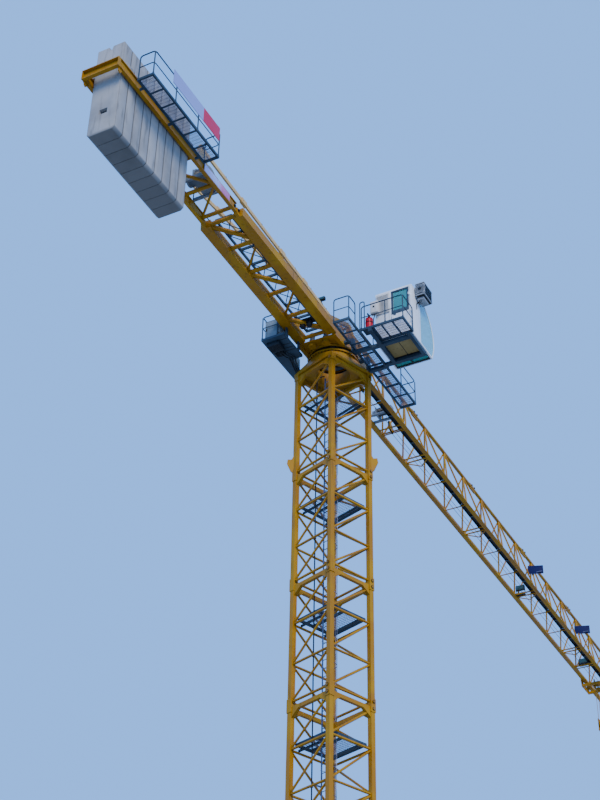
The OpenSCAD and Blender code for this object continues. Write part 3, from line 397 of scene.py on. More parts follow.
@dataclass(frozen=True)
class RolledSteel(Finish):
    """Bare or galvanised steel: a dull metal with darker and lighter crystals.

    Args:
        light: the colour of the bright crystals.
        dark: the colour of the dull ones.
        roughness: the roughness of the bright ones.
        metallic: how far the surface reflects as a metal.
        grain_mm: how wide a crystal is.
    """

    light: str
    dark: str
    roughness: float
    metallic: float = 1.0
    grain_mm: float = 14.0

    def dress(self, tree: Tree, shader: Node, place: Socket) -> None:
        """Mottles the metal with crystals and with wider dull patches."""
        crystals = add_node(
            tree, "ShaderNodeTexVoronoi", {"Vector": place, "Scale": 1 / (self.grain_mm * MM)}
        )
        patches = Patches(self.grain_mm * 12, 0.35, 0.68).add(tree, place)
        mask = add_node(tree, "ShaderNodeMath", {
            "operation": "MULTIPLY_ADD", "use_clamp": True,
            0: crystals.outputs["Distance"], 1: 0.5, 2: patches,
        }).outputs[0]
        tint = add_node(
            tree, "ShaderNodeMix", {"data_type": "RGBA", 0: mask, 6: self.light, 7: self.dark}
        )
        rough = add_node(tree, "ShaderNodeMapRange", {
            "Value": mask, "To Min": self.roughness, "To Max": min(self.roughness + 0.18, 1.0),
        })
        feed(shader, {
            "Base Color": tint.outputs[2], "Roughness": rough.outputs[0], "Metallic": self.metallic,
        })


@dataclass(frozen=True)
class WireRope(Finish):
    """Stranded steel rope: greased wires with the strands' slanting lay.

    Args:
        wire: the colour of the wires.
        grease: the colour of the grease between the strands.
        lay_mm: the length that one strand's turn shows on the rope.
    """

    wire: str
    grease: str
    lay_mm: float = 24.0

    def dress(self, tree: Tree, shader: Node, place: Socket) -> None:
        """Draws the strands' lay in grease."""
        strands = add_node(tree, "ShaderNodeTexWave", {
            "Vector": place, "bands_direction": "DIAGONAL", "Scale": 1 / (self.lay_mm * MM),
            "Distortion": 0.6,
        })
        tint = add_node(tree, "ShaderNodeMix", {
            "data_type": "RGBA", 0: strands.outputs["Fac"], 6: self.wire, 7: self.grease,
        })
        feed(shader, {"Base Color": tint.outputs[2], "Metallic": 0.8, "Roughness": 0.45})


@dataclass(frozen=True)
class CastConcrete(Finish):
    """Concrete slabs cast in steel moulds: damp stains, pores, drip marks, each slab its own tone,
    painted shade along their undersides.

    Args:
        dry: the colour of dry concrete.
        damp: its colour where rain stays.
        stain_and_shade: the colour of the drip marks, of the slabs' damp edges and of the painted shade
            along their undersides.
        slab_start: where the row of slabs starts along X.
        slab_pitch: the distance from slab to slab.
        edge_share: how much of a slab its damp edge takes, on each side.
        edge_strength: how dark the drip marks run along those edges.
        shaded_underside_z: the height of the slabs' undersides; the painted shade darkens the 60 mm
            above it and is darkest there.
        underside_shade_strength: how dark that painted shade is.
        pore_mm: the distance between pores.
    """

    dry: str
    damp: str
    stain_and_shade: str
    slab_start: float = -7.167
    slab_pitch: float = 0.206
    edge_share: float = 0.09
    edge_strength: float = 0.8
    shaded_underside_z: float = 16.512
    underside_shade_strength: float = 0.68
    pore_mm: float = 24.0

    def slab_marks(self, tree: Tree, place: Socket) -> tuple[Socket, Socket]:
        """Adds the masks of the slabs' damp edges with the painted shade along their undersides, and of
        their own tones.

        Args:
            tree: the material's node tree.
            place: the socket of the object's own coordinates.

        Returns:
            The sockets of the mask of the edges and the painted shade, and of the tone.
        """
        parts = add_node(tree, "ShaderNodeSeparateXYZ", {0: place})
        number = add_node(tree, "ShaderNodeMapRange", {
            "Value": parts.outputs["X"], "clamp": False,
            "From Min": self.slab_start, "From Max": self.slab_start + self.slab_pitch,
        }).outputs[0]
        swing = add_node(tree, "ShaderNodeMath", {"operation": "PINGPONG", 0: number, 1: 0.5})
        edge = add_node(tree, "ShaderNodeMapRange", {
            "Value": swing.outputs[0], "From Min": self.edge_share, "From Max": 0.012,
            "To Max": self.edge_strength,
        })
        whole = add_node(tree, "ShaderNodeMath", {"operation": "FLOOR", 0: number})
        tone = add_node(
            tree, "ShaderNodeTexWhiteNoise", {"noise_dimensions": "1D", "W": whole.outputs[0]}
        )
        inside = add_node(tree, "ShaderNodeMath", {
            "operation": "GREATER_THAN", 0: parts.outputs["X"], 1: self.slab_start + 6 * MM,
        })
        joint = add_node(
            tree, "ShaderNodeMath", {"operation": "MULTIPLY", 0: edge.outputs[0], 1: inside.outputs[0]}
        )
        # Painted shade: darker over the slabs' lowest 60 mm and on their undersides.
        foot = add_node(tree, "ShaderNodeMapRange", {
            "Value": parts.outputs["Z"], "From Min": self.shaded_underside_z + 60 * MM, "From Max": self.shaded_underside_z,
            "To Max": self.underside_shade_strength,
        })
        stain_and_shade = add_node(
            tree, "ShaderNodeMath", {"operation": "MAXIMUM", 0: joint.outputs[0], 1: foot.outputs[0]}
        )
        return stain_and_shade.outputs[0], tone.outputs["Value"]

    def dress(self, tree: Tree, shader: Node, place: Socket) -> None:
        """Stains the slabs, paints shade along their undersides and pits them with pores."""
        damp = Patches(520, 0.42, 0.68, strength=0.6).add(tree, place)
        drips = Patches(70, 0.52, 0.75, (1, 1, 8), strength=0.45).add(tree, place)
        sand = Patches(16, 0.25, 0.75, detail=6).add(tree, place)
        # edge carries both the slabs' damp edges and the painted shade along their undersides.
        edge, tone = self.slab_marks(tree, place)
        wet = add_node(tree, "ShaderNodeMath", {
            "operation": "MULTIPLY_ADD", "use_clamp": True, 0: tone, 1: 0.45, 2: damp,
        })
        base = add_node(
            tree, "ShaderNodeMix", {"data_type": "RGBA", 0: wet.outputs[0], 6: self.dry, 7: self.damp}
        )
        most = add_node(tree, "ShaderNodeMath", {"operation": "MAXIMUM", 0: drips, 1: edge})
        stained_and_shaded = add_node(tree, "ShaderNodeMix", {
            "data_type": "RGBA", 0: most.outputs[0], 6: base.outputs[2], 7: self.stain_and_shade,
        })
        pores = add_node(
            tree, "ShaderNodeTexVoronoi", {"Vector": place, "Scale": 1 / (self.pore_mm * MM)}
        )
        holes = add_node(tree, "ShaderNodeMapRange", {
            "Value": pores.outputs["Distance"], "interpolation_type": "SMOOTHSTEP",
            "From Min": 0.0, "From Max": 0.22,
        })
        height = add_node(
            tree, "ShaderNodeMath", {"operation": "ADD", 0: holes.outputs[0], 1: sand}
        )
        bump = add_node(tree, "ShaderNodeBump", {
            "Strength": 0.5, "Distance": 1.2 * MM, "Height": height.outputs[0],
        })
        feed(shader, {
            "Base Color": stained_and_shaded.outputs[2], "Roughness": 0.88, "Normal": bump.outputs[0],
        })


@dataclass(frozen=True)
class TintedGlass(Finish):
    """Laminated safety glass: clear, smooth and faintly dusty, with a body tint.

    Args:
        tint: the colour of the glass.
        roughness: the roughness of clean glass.
        clearness: how much of the light goes through.
        low_tint: the colour of the panes below a height, if it differs.
        low_z: that height.
    """

    tint: str
    roughness: float = 0.05
    clearness: float = 0.75
    low_tint: str = ""
    low_z: float = 0.0

    def dress(self, tree: Tree, shader: Node, place: Socket) -> None:
        """Tints the glass and dusts it."""
        dust = Patches(160, 0.45, 0.75, (1, 1, 4)).add(tree, place)
        rough = add_node(tree, "ShaderNodeMapRange", {
            "Value": dust, "To Min": self.roughness, "To Max": self.roughness + 0.12,
        })
        tint = self.tint
        if self.low_tint:
            tint = Split("Z", self.low_z, 1 * MM).add(tree, place, self.low_tint, self.tint)
        feed(shader, {
            "Base Color": tint, "Roughness": rough.outputs[0],
            "Transmission Weight": self.clearness, "IOR": 1.5,
        })


@dataclass(frozen=True)
class StudioPaint(Finish):
    """Matt emulsion on the studio floor, with barely visible roller patches.

    Args:
        colour: the paint's colour.
        patch: its colour where the roller overlapped.
    """

    colour: str
    patch: str

    def dress(self, tree: Tree, shader: Node, place: Socket) -> None:
        """Rolls the paint on."""
        patches = Patches(3000, 0.3, 0.7).add(tree, place)
        paint = add_node(
            tree, "ShaderNodeMix", {"data_type": "RGBA", 0: patches, 6: self.colour, 7: self.patch}
        )
        feed(shader, {"Base Color": paint.outputs[2], "Roughness": 0.9})


# Gives the eye a deep golden yellow, a little chalky, with brown rain streaks
CRANE_ENAMEL = Enamel(
    "yellow_enamel_on_steel", "#9E6C00", "#B58A12", "#332503", 0.45, chalk_share=0.55
)
# Gives the eye a paler, sandy version of the crane yellow on the tie bars
TIE_ENAMEL = Enamel("sandy_yellow_enamel_on_steel", "#CFA661", "#DCBB80", "#7A5A26")
# Gives the eye a dark navy that is duller than the yellow
PLATFORM_ENAMEL = Enamel("navy_enamel_on_steel", "#2A3B49", "#3F5261", "#0B1015", 0.5)
# Gives the eye a soft white with faint grey runs
CAB_ENAMEL = Enamel("white_enamel_on_sheet_steel", "#E8ECEE", "#D8DEE2", "#9AA1A6", 0.32)
# Gives the eye pale sheet steel cabinets behind the cab and grey-green ones on the left platform
CABINET_ENAMEL = TwoToneEnamel(
    "pale_and_grey_green_enamel_on_sheet_steel", "#CFCBC4", "#B9BDBC", "#5A5E5E", 0.45,
    chalk_share=0.35, second="#5C6E76", split=Split("Y", 0.0, 2 * MM),
)
# Gives the eye the clear crimson of a pressure vessel
RED_ENAMEL = Enamel("red_enamel_on_steel", "#B50F24", "#C42436", "#5A0812", 0.3)
# Gives the eye the neutral grey of a cooler's casing
COOLER_ENAMEL = Enamel("grey_enamel_on_sheet_steel", "#8B9095", "#9DA3A8", "#3C4144", 0.45)
# Gives the eye the nearly black satin of fan guards, hinges and lamp housings
BLACK_ENAMEL = Enamel("satin_black_enamel_on_steel", "#15191D", "#262B30", "#050607", 0.38)
# Gives the eye deep blue plates on the jib, left blank
BLUE_ENAMEL = Enamel("deep_blue_enamel_on_aluminium", "#040B44", "#0A154F", "#02051E", 0.7)
# Gives the eye a blank panel, lilac-white along most of its length and red at its near end
RAIL_PANEL_ENAMEL = TwoToneEnamel(
    "white_and_red_enamel_on_aluminium", "#8C99D2", "#8490C6", "#5C6690", 0.35,
    grime_share=0.1, chalk_share=0.15, second="#C40D33", split=Split("X", -5.625, 2 * MM),
)
# Gives the eye a blank strip that runs from lilac-white to pink
GIRDER_PANEL_ENAMEL = TwoToneEnamel(
    "white_and_pink_enamel_on_aluminium", "#A9B2E6", "#9CA6DA", "#6C7494", 0.35,
    grime_share=0.1, chalk_share=0.15, second="#C870A4", split=Split("X", -4.45, 0.12),
)
# Gives the eye a dull zinc with darker crystals
ZINC = RolledSteel("hot_dip_galvanised_steel", "#9496AA", "#62667A", 0.5)
# Gives the eye the dark shine of greased steel
GREASED_STEEL = RolledSteel("greased_machined_steel", "#55544F", "#26241F", 0.35)
# Gives the eye worn, nearly black steel
WHEEL_STEEL = RolledSteel("worn_cast_steel", "#4A4A4C", "#2A2A2B", 0.45)
# Gives the eye grey gearbox castings with oily patches
WINCH_ENAMEL = Enamel("machine_grey_enamel_on_castings", "#6E7985", "#838E99", "#23282D", 0.4)
# Gives the eye thin dark lines with a twisted grain
ROPE_STEEL = WireRope("stranded_steel_rope", "#6E7176", "#1E1D1B")
# Gives the eye the matt black of window seals and cable
RUBBER = Enamel("moulded_black_rubber", "#101316", "#1C2024", "#050505", 0.7)
# Gives the eye pale cast concrete with stains along its edges and painted shade along the slabs'
# undersides
SLAB_CONCRETE = CastConcrete("cast_concrete", "#A9A8A6", "#8B8A88", "#454340")
# Gives the eye the olive brown of plywood seen from below
FLOOR_BOARD = Enamel("resin_faced_plywood", "#8E7A48", "#A08E5C", "#463A1E", 0.55, grime_share=0.5)
# Gives the eye pale cyan safety glass, and deep teal panes in the cab's floor
CAB_GLASS = TintedGlass(
    "cyan_laminated_glass", "#9BE3EE", clearness=0.55, low_tint="#18A598", low_z=17.345
)
# Gives the eye the same glass, darker and greener, in the door
DOOR_GLASS = TintedGlass("teal_laminated_glass", "#56B4B0", clearness=0.5)
# Gives the eye the dark grey-green front of a lamp that is off
LAMP_GLASS = TintedGlass("smoked_lamp_glass", "#2F4B48", 0.2, 0.15)
# Gives the eye the plain pale studio floor
STUDIO_FLOOR = StudioPaint("matt_studio_paint", "#B4B0A8", "#AEAAA2")

CAD_FINISHES: dict[str, Finish] = {
    node: finish
    for finish, nodes in (
        (CRANE_ENAMEL, "mast_foot slewing_support slewing_platform head_frame jib_head"),
        (CRANE_ENAMEL, "counter_jib_inner counter_jib_outer trolley_frame hook_block"),
        (CRANE_ENAMEL, " ".join(f"mast_section_{i + 1}" for i in range(CRANE.sections))),
        (CRANE_ENAMEL, " ".join(f"jib_section_{i + 1}" for i in range(CRANE.jib_sections))),
        (TIE_ENAMEL, "counter_jib_ties"),
        (PLATFORM_ENAMEL, "rest_platforms jib_catwalk counter_jib_walkway weight_platform"),
        (PLATFORM_ENAMEL, "right_walkway left_platform cab_platform guard_rails"),
        (ZINC, "rest_gratings upper_gratings mast_ladder"),
        (GREASED_STEEL, "ring_lower_race ring_upper_race"),
        (WINCH_ENAMEL, "trolley_winch hoist_winch"),
        (SLAB_CONCRETE, "counterweight_slabs"),
        (RAIL_PANEL_ENAMEL, "rail_panel"),
        (CABINET_ENAMEL, "switch_cabinets"),
        (CAB_ENAMEL, "cab_shell cab_door"),
        (BLACK_ENAMEL, "cab_floor"),
        (FLOOR_BOARD, "cab_floor_boards"),
        (CAB_GLASS, "cab_glass"),
        (DOOR_GLASS, "door_glass"),
        (COOLER_ENAMEL, "air_conditioner"),
        (RED_ENAMEL, "fire_extinguisher"),
        (WHEEL_STEEL, "trolley_wheels"),
    )
    for node in nodes.split()
}


def dress_cad_nodes() -> None:
    """Gives every CAD node its finish."""
    for name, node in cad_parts.items():
        node.data.materials.clear()
        node.data.materials.append(CAD_FINISHES[name].material())


# Meshes


def add_box(
    bm: Mesh, low: Numbers, high: Numbers, bevel: float = 0.0
) -> None:
    """Adds a box between two corners.

    Args:
        bm: the mesh that gets it.
        low: the lowest corner.
        high: the highest corner.
        bevel: the radius of its rounded edges; 0 leaves them sharp.
    """
    low, high = Vector(low), Vector(high)
    place = Matrix.Translation((low + high) / 2) @ Matrix.Diagonal((*(high - low), 1))
    verts = bmesh.ops.create_cube(bm, size=1, matrix=place)["verts"]
    if bevel:
        bevel_edges(bm, {edge for vert in verts for edge in vert.link_edges}, bevel)


def bevel_edges(bm: Mesh, edges: Iterable[bmesh.types.BMEdge], radius: float) -> None:
    """Rounds edges by two faces across, with the defaults that the editor has.

    Args:
        bm: the mesh they are in.
        edges: the edges to round.
        radius: the width of the rounding on each side.
    """
    bmesh.ops.bevel(
        bm, geom=list(edges), offset=radius, offset_type="OFFSET", segments=2, profile=0.5,
        affect="EDGES", material=-1, clamp_overlap=True,
    )


def add_tube(
    bm: Mesh,
    start: Numbers,
    end: Numbers,
    diameter: float,
    sides: int = 10,
    end_diameter: float | None = None,
) -> None:
    """Adds a closed round bar, or a cone, between two points.

    Args:
        bm: the mesh that gets it.
        start: the middle of one end.
        end: the middle of the other end.
        diameter: the bar's diameter at the start.
        sides: how many sides it has.
        end_diameter: the diameter at the end, if it differs.
    """
    start, end = Vector(start), Vector(end)
    along = end - start
    turn = along.to_track_quat("Z", "Y").to_matrix().to_4x4()
    bmesh.ops.create_cone(
        bm, cap_ends=True, segments=sides, radius1=diameter / 2,
        radius2=(diameter if end_diameter is None else end_diameter) / 2, depth=along.length,
        matrix=Matrix.Translation((start + end) / 2) @ turn,
    )


def round_corners(corners: Sequence[Numbers], radius: float) -> list[Vector]:
    """Rounds the corners of a line of straight stretches.

    Args:
        corners: the line's ends and corners.
        radius: how far from a corner its rounding starts.

    Returns:
        The points of the rounded line.
    """
    points = [Vector(corner) for corner in corners]
    path = [points[0]]
    for before, corner, after in zip(points, points[1:], points[2:]):
        back, ahead = before - corner, after - corner
        reach = min(radius, back.length * 0.49, ahead.length * 0.49)
        first = corner + back.normalized() * reach
        last = corner + ahead.normalized() * reach
        for i in range(CORNER_STEPS + 1):
            t = i / CORNER_STEPS
            path.append(first * (1 - t) ** 2 + corner * 2 * t * (1 - t) + last * t**2)
    path.append(points[-1])
    return path


def extrude(
    bm: Mesh, faces: list[bmesh.types.BMFace], way: Numbers, keep: bool = False
) -> tuple[list[bmesh.types.BMVert], list[bmesh.types.BMFace]]:
    """Extrudes faces that lie beside each other.

    Args:
        bm: the mesh they are in.
        faces: the faces.
        way: how far they move.
        keep: True where the old faces stay.

    Returns:
        The moved points and the moved faces.
    """
    grown = bmesh.ops.extrude_face_region(bm, geom=faces, use_keep_orig=keep)["geom"]
    verts = [part for part in grown if isinstance(part, bmesh.types.BMVert)]
    bmesh.ops.translate(bm, verts=verts, vec=Vector(way))
    return verts, [part for part in grown if isinstance(part, bmesh.types.BMFace)]


def add_swept_tube(bm: Mesh, path: Sequence[Vector], diameter: float, sides: int = 8) -> None:
    """Adds a round tube that follows a path, by extruding its end face along it.

    Args:
        bm: the mesh that gets it.
        path: the points that the tube's middle passes.
        diameter: the tube's diameter.
        sides: how many sides it has.
    """
    heading = (path[1] - path[0]).normalized()
    turn = heading.to_track_quat("Z", "Y").to_matrix().to_4x4()
    place = Matrix.Translation(path[0]) @ turn
    ring = bmesh.ops.create_circle(
        bm, cap_ends=True, segments=sides, radius=diameter / 2, matrix=place
    )["verts"]
    face = ring[0].link_faces[0]
    for i in range(1, len(path)):
        verts, grown = extrude(bm, [face], path[i] - path[i - 1])
        if i > 1 and face.is_valid:
            bmesh.ops.delete(bm, geom=[face], context="FACES_ONLY")
        face = grown[0]
        after = path[min(i + 1, len(path) - 1)] - path[i - 1]
        swing = heading.rotation_difference(after.normalized()).to_matrix()
        bmesh.ops.rotate(bm, verts=verts, cent=path[i], matrix=swing)
        heading = after.normalized()


def add_plate(
    bm: Mesh, outline: Sequence[Point], thickness: Numbers, bevel: float = 0.0
) -> None:
    """Adds a flat plate: one face, extruded by its thickness.

    Args:
        bm: the mesh that gets it.
        outline: the corners of one side, in order.
        thickness: the way from that side to the other.
        bevel: the radius of its rounded edges; 0 leaves them sharp.
    """
    face = bm.faces.new([bm.verts.new(corner) for corner in outline])
    extrude(bm, [face], thickness)
    if bevel:
        bevel_edges(bm, {edge for vert in face.verts for edge in vert.link_edges}, bevel)


def add_ring_frame(
    bm: Mesh, outline: Sequence[Point], normal: Numbers, depth: float, width: float
) -> None:
    """Adds a flat frame that follows an outline: an inset face whose rim is extruded.

    Args:
        bm: the mesh that gets it.
        outline: the frame's outer corners, in order.
        normal: the way that its front points.
        depth: how far it stands out along that way.
        width: how wide it is.
    """
    face = bm.faces.new([bm.verts.new(corner) for corner in outline])
    rim = bmesh.ops.inset_region(bm, faces=[face], thickness=width, use_even_offset=True)["faces"]
    bmesh.ops.delete(bm, geom=[face], context="FACES_ONLY")
    extrude(bm, rim, Vector(normal).normalized() * depth, keep=True)


def add_lathed(
    bm: Mesh, profile: Sequence[PlanPoint], centre: Numbers, axis: Numbers,
    segments: int = 24,
) -> None:
    """Adds a turned shape by spinning a profile a full turn.

    Args:
        bm: the mesh that gets it.
        profile: radius and height pairs, in metres; it starts and ends on the axis if closed.
        centre: where height 0 lies on the axis.
        axis: the way of growing height.
        segments: how many faces it has around.
    """
    centre = Vector(centre)
    axis = Vector(axis).normalized()
    place = Matrix.Translation(centre) @ axis.to_track_quat("Z", "Y").to_matrix().to_4x4()
    old = set(bm.verts)
    verts = [bm.verts.new(place @ Vector((radius, 0, height))) for radius, height in profile]
    edges = [bm.edges.new(pair) for pair in zip(verts, verts[1:])]
    bmesh.ops.spin(
        bm, geom=verts + edges, cent=centre, axis=axis, angle=2 * pi, steps=segments,
        use_merge=True,
    )
    new = [vert for vert in bm.verts if vert not in old]
    bmesh.ops.remove_doubles(bm, verts=new, dist=1e-6)


def add_bolt(
    bm: Mesh, seat: Numbers, axis: Numbers, across: float
) -> None:
    """Adds a hexagon head on its washer.

    Args:
        bm: the mesh that gets it.
        seat: the middle of the face it sits on.
        axis: the way it stands up.
        across: the head's width.
    """
    seat, axis = Vector(seat), Vector(axis).normalized()
    washer = seat + axis * across * 0.16
    add_tube(bm, seat, washer, across * 1.6, 10)
    add_tube(bm, washer, washer + axis * across * 0.62, across * 1.15, 6)


def finish_piece(
    name: str,
    bm: Mesh,
    finish: Finish,
    body: Body = Body.UPPERWORKS,
    turned: float = 0.0,
    replaces: str | None = None,
) -> bpy.types.Object:
    """Makes the mesh an object that rides on its body.

    Args:
        name: the piece's name.
        bm: its mesh in metres, in the crane's frame; it is freed here.
        finish: the finish it gets.
        body: the CAD body it rides on.
        turned: a turn about the mast's axis, in radians, applied to the mesh.
        replaces: the CAD node that it stands for, if any.

    Returns:
        The finished object.
    """
    if turned:
        spin = Matrix.Rotation(turned, 3, "Z")
        bmesh.ops.rotate(bm, verts=bm.verts, cent=(0, 0, 0), matrix=spin)
    bmesh.ops.recalc_face_normals(bm, faces=bm.faces)
    for face in bm.faces:
        face.smooth = True
    mesh = bpy.data.meshes.new(name)
    bm.to_mesh(mesh)
    bm.free()
    mesh.set_sharp_from_angle(angle=radians(35))
    made = bpy.data.objects.new(name, mesh)
    bpy.context.scene.collection.objects.link(made)
    mesh.materials.append(finish.material())
    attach(made, body.value)
    if replaces:
        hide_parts(replaces)
    log.info("%s: %d faces on %s", name, len(mesh.polygons), body.value)
    return made


def copy_node(node: str) -> Mesh:
    """Copies a CAD node's mesh, its triangles joined to flat faces.

    Args:
        node: the CAD node's name.

    Returns:
        The copy.
    """
    bm = bmesh.new()
    bm.from_mesh(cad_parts[node].data)
    bmesh.ops.remove_doubles(bm, verts=bm.verts, dist=0.02 * MM)
    bmesh.ops.dissolve_limit(bm, angle_limit=radians(1), verts=bm.verts, edges=bm.edges)
    return bm


def soften_node(node: str, radius: float) -> None:
    """Replaces a CAD node of the upper part by a copy whose sharp edges are rounded.

    Args:
        node: the CAD node's name.
        radius: the width of the rounding.
    """
    bm = copy_node(node)
    sharp = [
        edge
        for edge in bm.edges
        if len(edge.link_faces) == 2 and edge.calc_face_angle(0) > radians(38)
    ]
    bevel_edges(bm, sharp, radius)
    finish_piece(f"{node}_softened", bm, CAD_FINISHES[node], replaces=node)


# Sub-assemblies of the tower


@dataclass
class OpenGrating:
    """One field of pressed bar grating: deep bars with cross rods through them.

    Args:
        low: the field's lowest corner.
        high: its highest corner.
        along_x: True where the deep bars run along X.
        bar_pitch: the distance between deep bars.
        rod_pitch: the distance between cross rods.
        bar_width: the width of a deep bar.
        rod_width: the width of a cross rod.
    """

    low: Point
    high: Point
    along_x: bool = False
    bar_pitch: float = 20 * MM
    rod_pitch: float = 60 * MM
    bar_width: float = 2.4 * MM
    rod_width: float = 4 * MM

    def add(self, bm: Mesh) -> None:
        """Adds the grating's bars and rods to a mesh.

        Args:
            bm: the mesh that gets them.
        """
        x0, y0, z0 = self.low
        x1, y1, z1 = self.high
        a0, a1, b0, b1 = (x0, x1, y0, y1) if self.along_x else (y0, y1, x0, x1)
        bars = max(2, round((b1 - b0) / self.bar_pitch))
        rods = max(2, round((a1 - a0) / self.rod_pitch))
        for i in range(bars + 1):
            b = b0 + (b1 - b0 - self.bar_width) * i / bars
            self.add_strip(bm, (a0, b, z0), (a1, b + self.bar_width, z1))
        for i in range(rods + 1):
            a = a0 + (a1 - a0 - self.rod_width) * i / rods
            self.add_strip(bm, (a, b0, z1 - self.rod_width), (a + self.rod_width, b1, z1 - MM))

    def add_strip(self, bm: Mesh, low: Point, high: Point) -> None:
        """Adds one bar, given with its long axis first."""
        if self.along_x:
            add_box(bm, low, high)
        else:
            add_box(bm, (low[1], low[0], low[2]), (high[1], high[0], high[2]))


@dataclass
class MastRests:
    """The gratings of the rest platforms and the cage round the ladder, inside the mast.

    Args:
        fields: the grating fields' lowest and highest corners in plan, in the mast's own frame.
        first_z: the height of the lowest rest platform's channels.
        lift: from the channels' underside to the grating.
        thick: the height of the gratings' upper side over their lower one.
        bar_depth: how deep their bars are.
        ladder_at: where the ladder's middle stands, in the mast's frame.
        hoop_pitch: the distance between hoops.
        hoop_half: half a hoop's width.
        hoop_reach: how far a hoop stands out from the ladder.
        hoop_bar: the diameter of the hoops' and the straps' bars.
        cage_low: from a rest platform to the first hoop over it.
        cage_high: from the last hoop to the platform over it.
        cage_first: the height of the lowest hoop.
    """

    fields: tuple[tuple[PlanPoint, PlanPoint], ...] = (
        ((-0.0467, -0.3467), (0.3467, 0.3467)),
        ((-0.3467, -0.0467), (-0.0733, 0.3467)),
    )
    first_z: float = 1.9923
    lift: float = 0.060
    thick: float = 14 * MM
    bar_depth: float = 7 * MM
    ladder_at: PlanPoint = (-0.283, -0.210)
    hoop_pitch: float = 0.46
    hoop_half: float = 0.125
    hoop_reach: float = 0.17
    hoop_bar: float = 8 * MM
    cage_low: float = 0.32
    cage_high: float = 0.02
    cage_first: float = 0.9

    def build(self) -> None:
        """Builds the gratings and the cage."""
        bm = bmesh.new()
        for i in range(CRANE.sections):
            z = self.first_z + i * CRANE.section_h + self.lift
            for low, high in self.fields:
                low_z = z + self.thick - self.bar_depth
                OpenGrating((*low, low_z), (*high, z + self.thick), bar_pitch=26 * MM).add(bm)
        turn = CRANE.mast_turn
        finish_piece("rest_bar_gratings", bm, ZINC, Body.TOWER, turn, "rest_gratings")
        self.build_cage()

    def hoop(self, z: float) -> list[Vector]:
        """Returns the points of one hoop, from stile to stile."""
        x, y = self.ladder_at
        angles = [pi * i / 12 for i in range(13)]
        reach, half = self.hoop_reach, self.hoop_half
        return [Vector((x + reach * sin(a), y + half * cos(a), z)) for a in angles]

    def build_cage(self) -> None:
        """Builds the hoops with the three straps that join them, between the rest platforms."""
        bm = bmesh.new()
        for i in range(CRANE.sections):
            floor = self.first_z + i * CRANE.section_h
            low = max(floor - CRANE.section_h + self.cage_low, self.cage_first)
            high = floor - self.cage_high
            count = round((high - low) / self.hoop_pitch)
            for k in range(count + 1):
                add_swept_tube(bm, self.hoop(low + (high - low) * k / count), self.hoop_bar, 6)
            for k in (3, 6, 9):
                add_tube(bm, self.hoop(low)[k], self.hoop(high)[k], self.hoop_bar, 6)
        finish_piece("ladder_cage", bm, ZINC, Body.TOWER, turned=CRANE.mast_turn)


@dataclass
class MastPins:
    """The washers and split pins on the sections' joint pins, and the cable up the mast.

    Args:
        knuckle_mid: from a section's end to the middle of its joint pin.
        pin_out: from a post's middle to the end of the pin.
        washer: a washer's diameter.
        washer_thick: its thickness, and the diameter of the split pin.
        split_half: half a split pin's length.
        cable_y: where the cable runs across the front left face.
        cable: the cable's diameter.
    """

    knuckle_mid: float = 0.055
    pin_out: float = 0.063
    washer: float = 52 * MM
    washer_thick: float = 6 * MM
    split_half: float = 28 * MM
    cable_y: float = -0.02
    cable: float = 20 * MM

    def build(self) -> None:
        """Builds the joint pins' hardware and the cable with its clips."""
        bm = bmesh.new()
        for i in range(CRANE.sections):
            low = CRANE.foot_h + i * CRANE.section_h
            for z in (low + self.knuckle_mid, low + CRANE.section_h - self.knuckle_mid):
                for turn in range(4):
                    self.add_pin_ends(bm, z, turn)
        finish_piece("joint_pin_washers", bm, GREASED_STEEL, Body.TOWER, turned=CRANE.mast_turn)
        self.build_cable()

    def add_pin_ends(self, bm: Mesh, z: float, quarter: int) -> None:
        """Adds the washer and the split pin at both ends of one joint pin.

        Args:
            bm: the mesh that gets them.
            z: the pin's height.
            quarter: which corner of the mast, counted in quarter turns.
        """
        spin = Matrix.Rotation(quarter * pi / 2, 3, "Z")
        for side in (-1, 1):
            x, y = CRANE.mast_half + side * (self.pin_out - 7 * MM), CRANE.mast_half
            out = x + side * self.washer_thick
            add_tube(bm, spin @ Vector((x, y, z)), spin @ Vector((out, y, z)), self.washer, 14)
            low = Vector((out + side * 2 * MM, y, z - self.split_half))
            high = low + Vector((0, 0, 2 * self.split_half))
            add_tube(bm, spin @ low, spin @ high, self.washer_thick, 6)

    def build_cable(self) -> None:
        """Builds the supply cable up the mast's face, clipped to the level struts."""
        x, y = -CRANE.mast_half + 0.035, self.cable_y
        bm = bmesh.new()
        top = CRANE.mast_top - 0.25
        points = [(x, y, 0.05), (x, y, top), (x + 0.20, 0.02, top + 0.16)]
        add_swept_tube(bm, round_corners(points, 0.10), self.cable)
        finish_piece("mast_cable", bm, RUBBER, Body.TOWER, turned=CRANE.mast_turn)
        clips = bmesh.new()
        for i in range(CRANE.sections):
            for k in range(1, CRANE.panels):
                z = CRANE.foot_h + i * CRANE.section_h + k * CRANE.panel_h
                low, high = (x - 0.052, y - 0.020, z - 0.011), (x + 0.014, y + 0.020, z + 0.011)
                add_box(clips, low, high, 2 * MM)
        finish_piece("cable_clips", clips, ZINC, Body.TOWER, turned=CRANE.mast_turn)


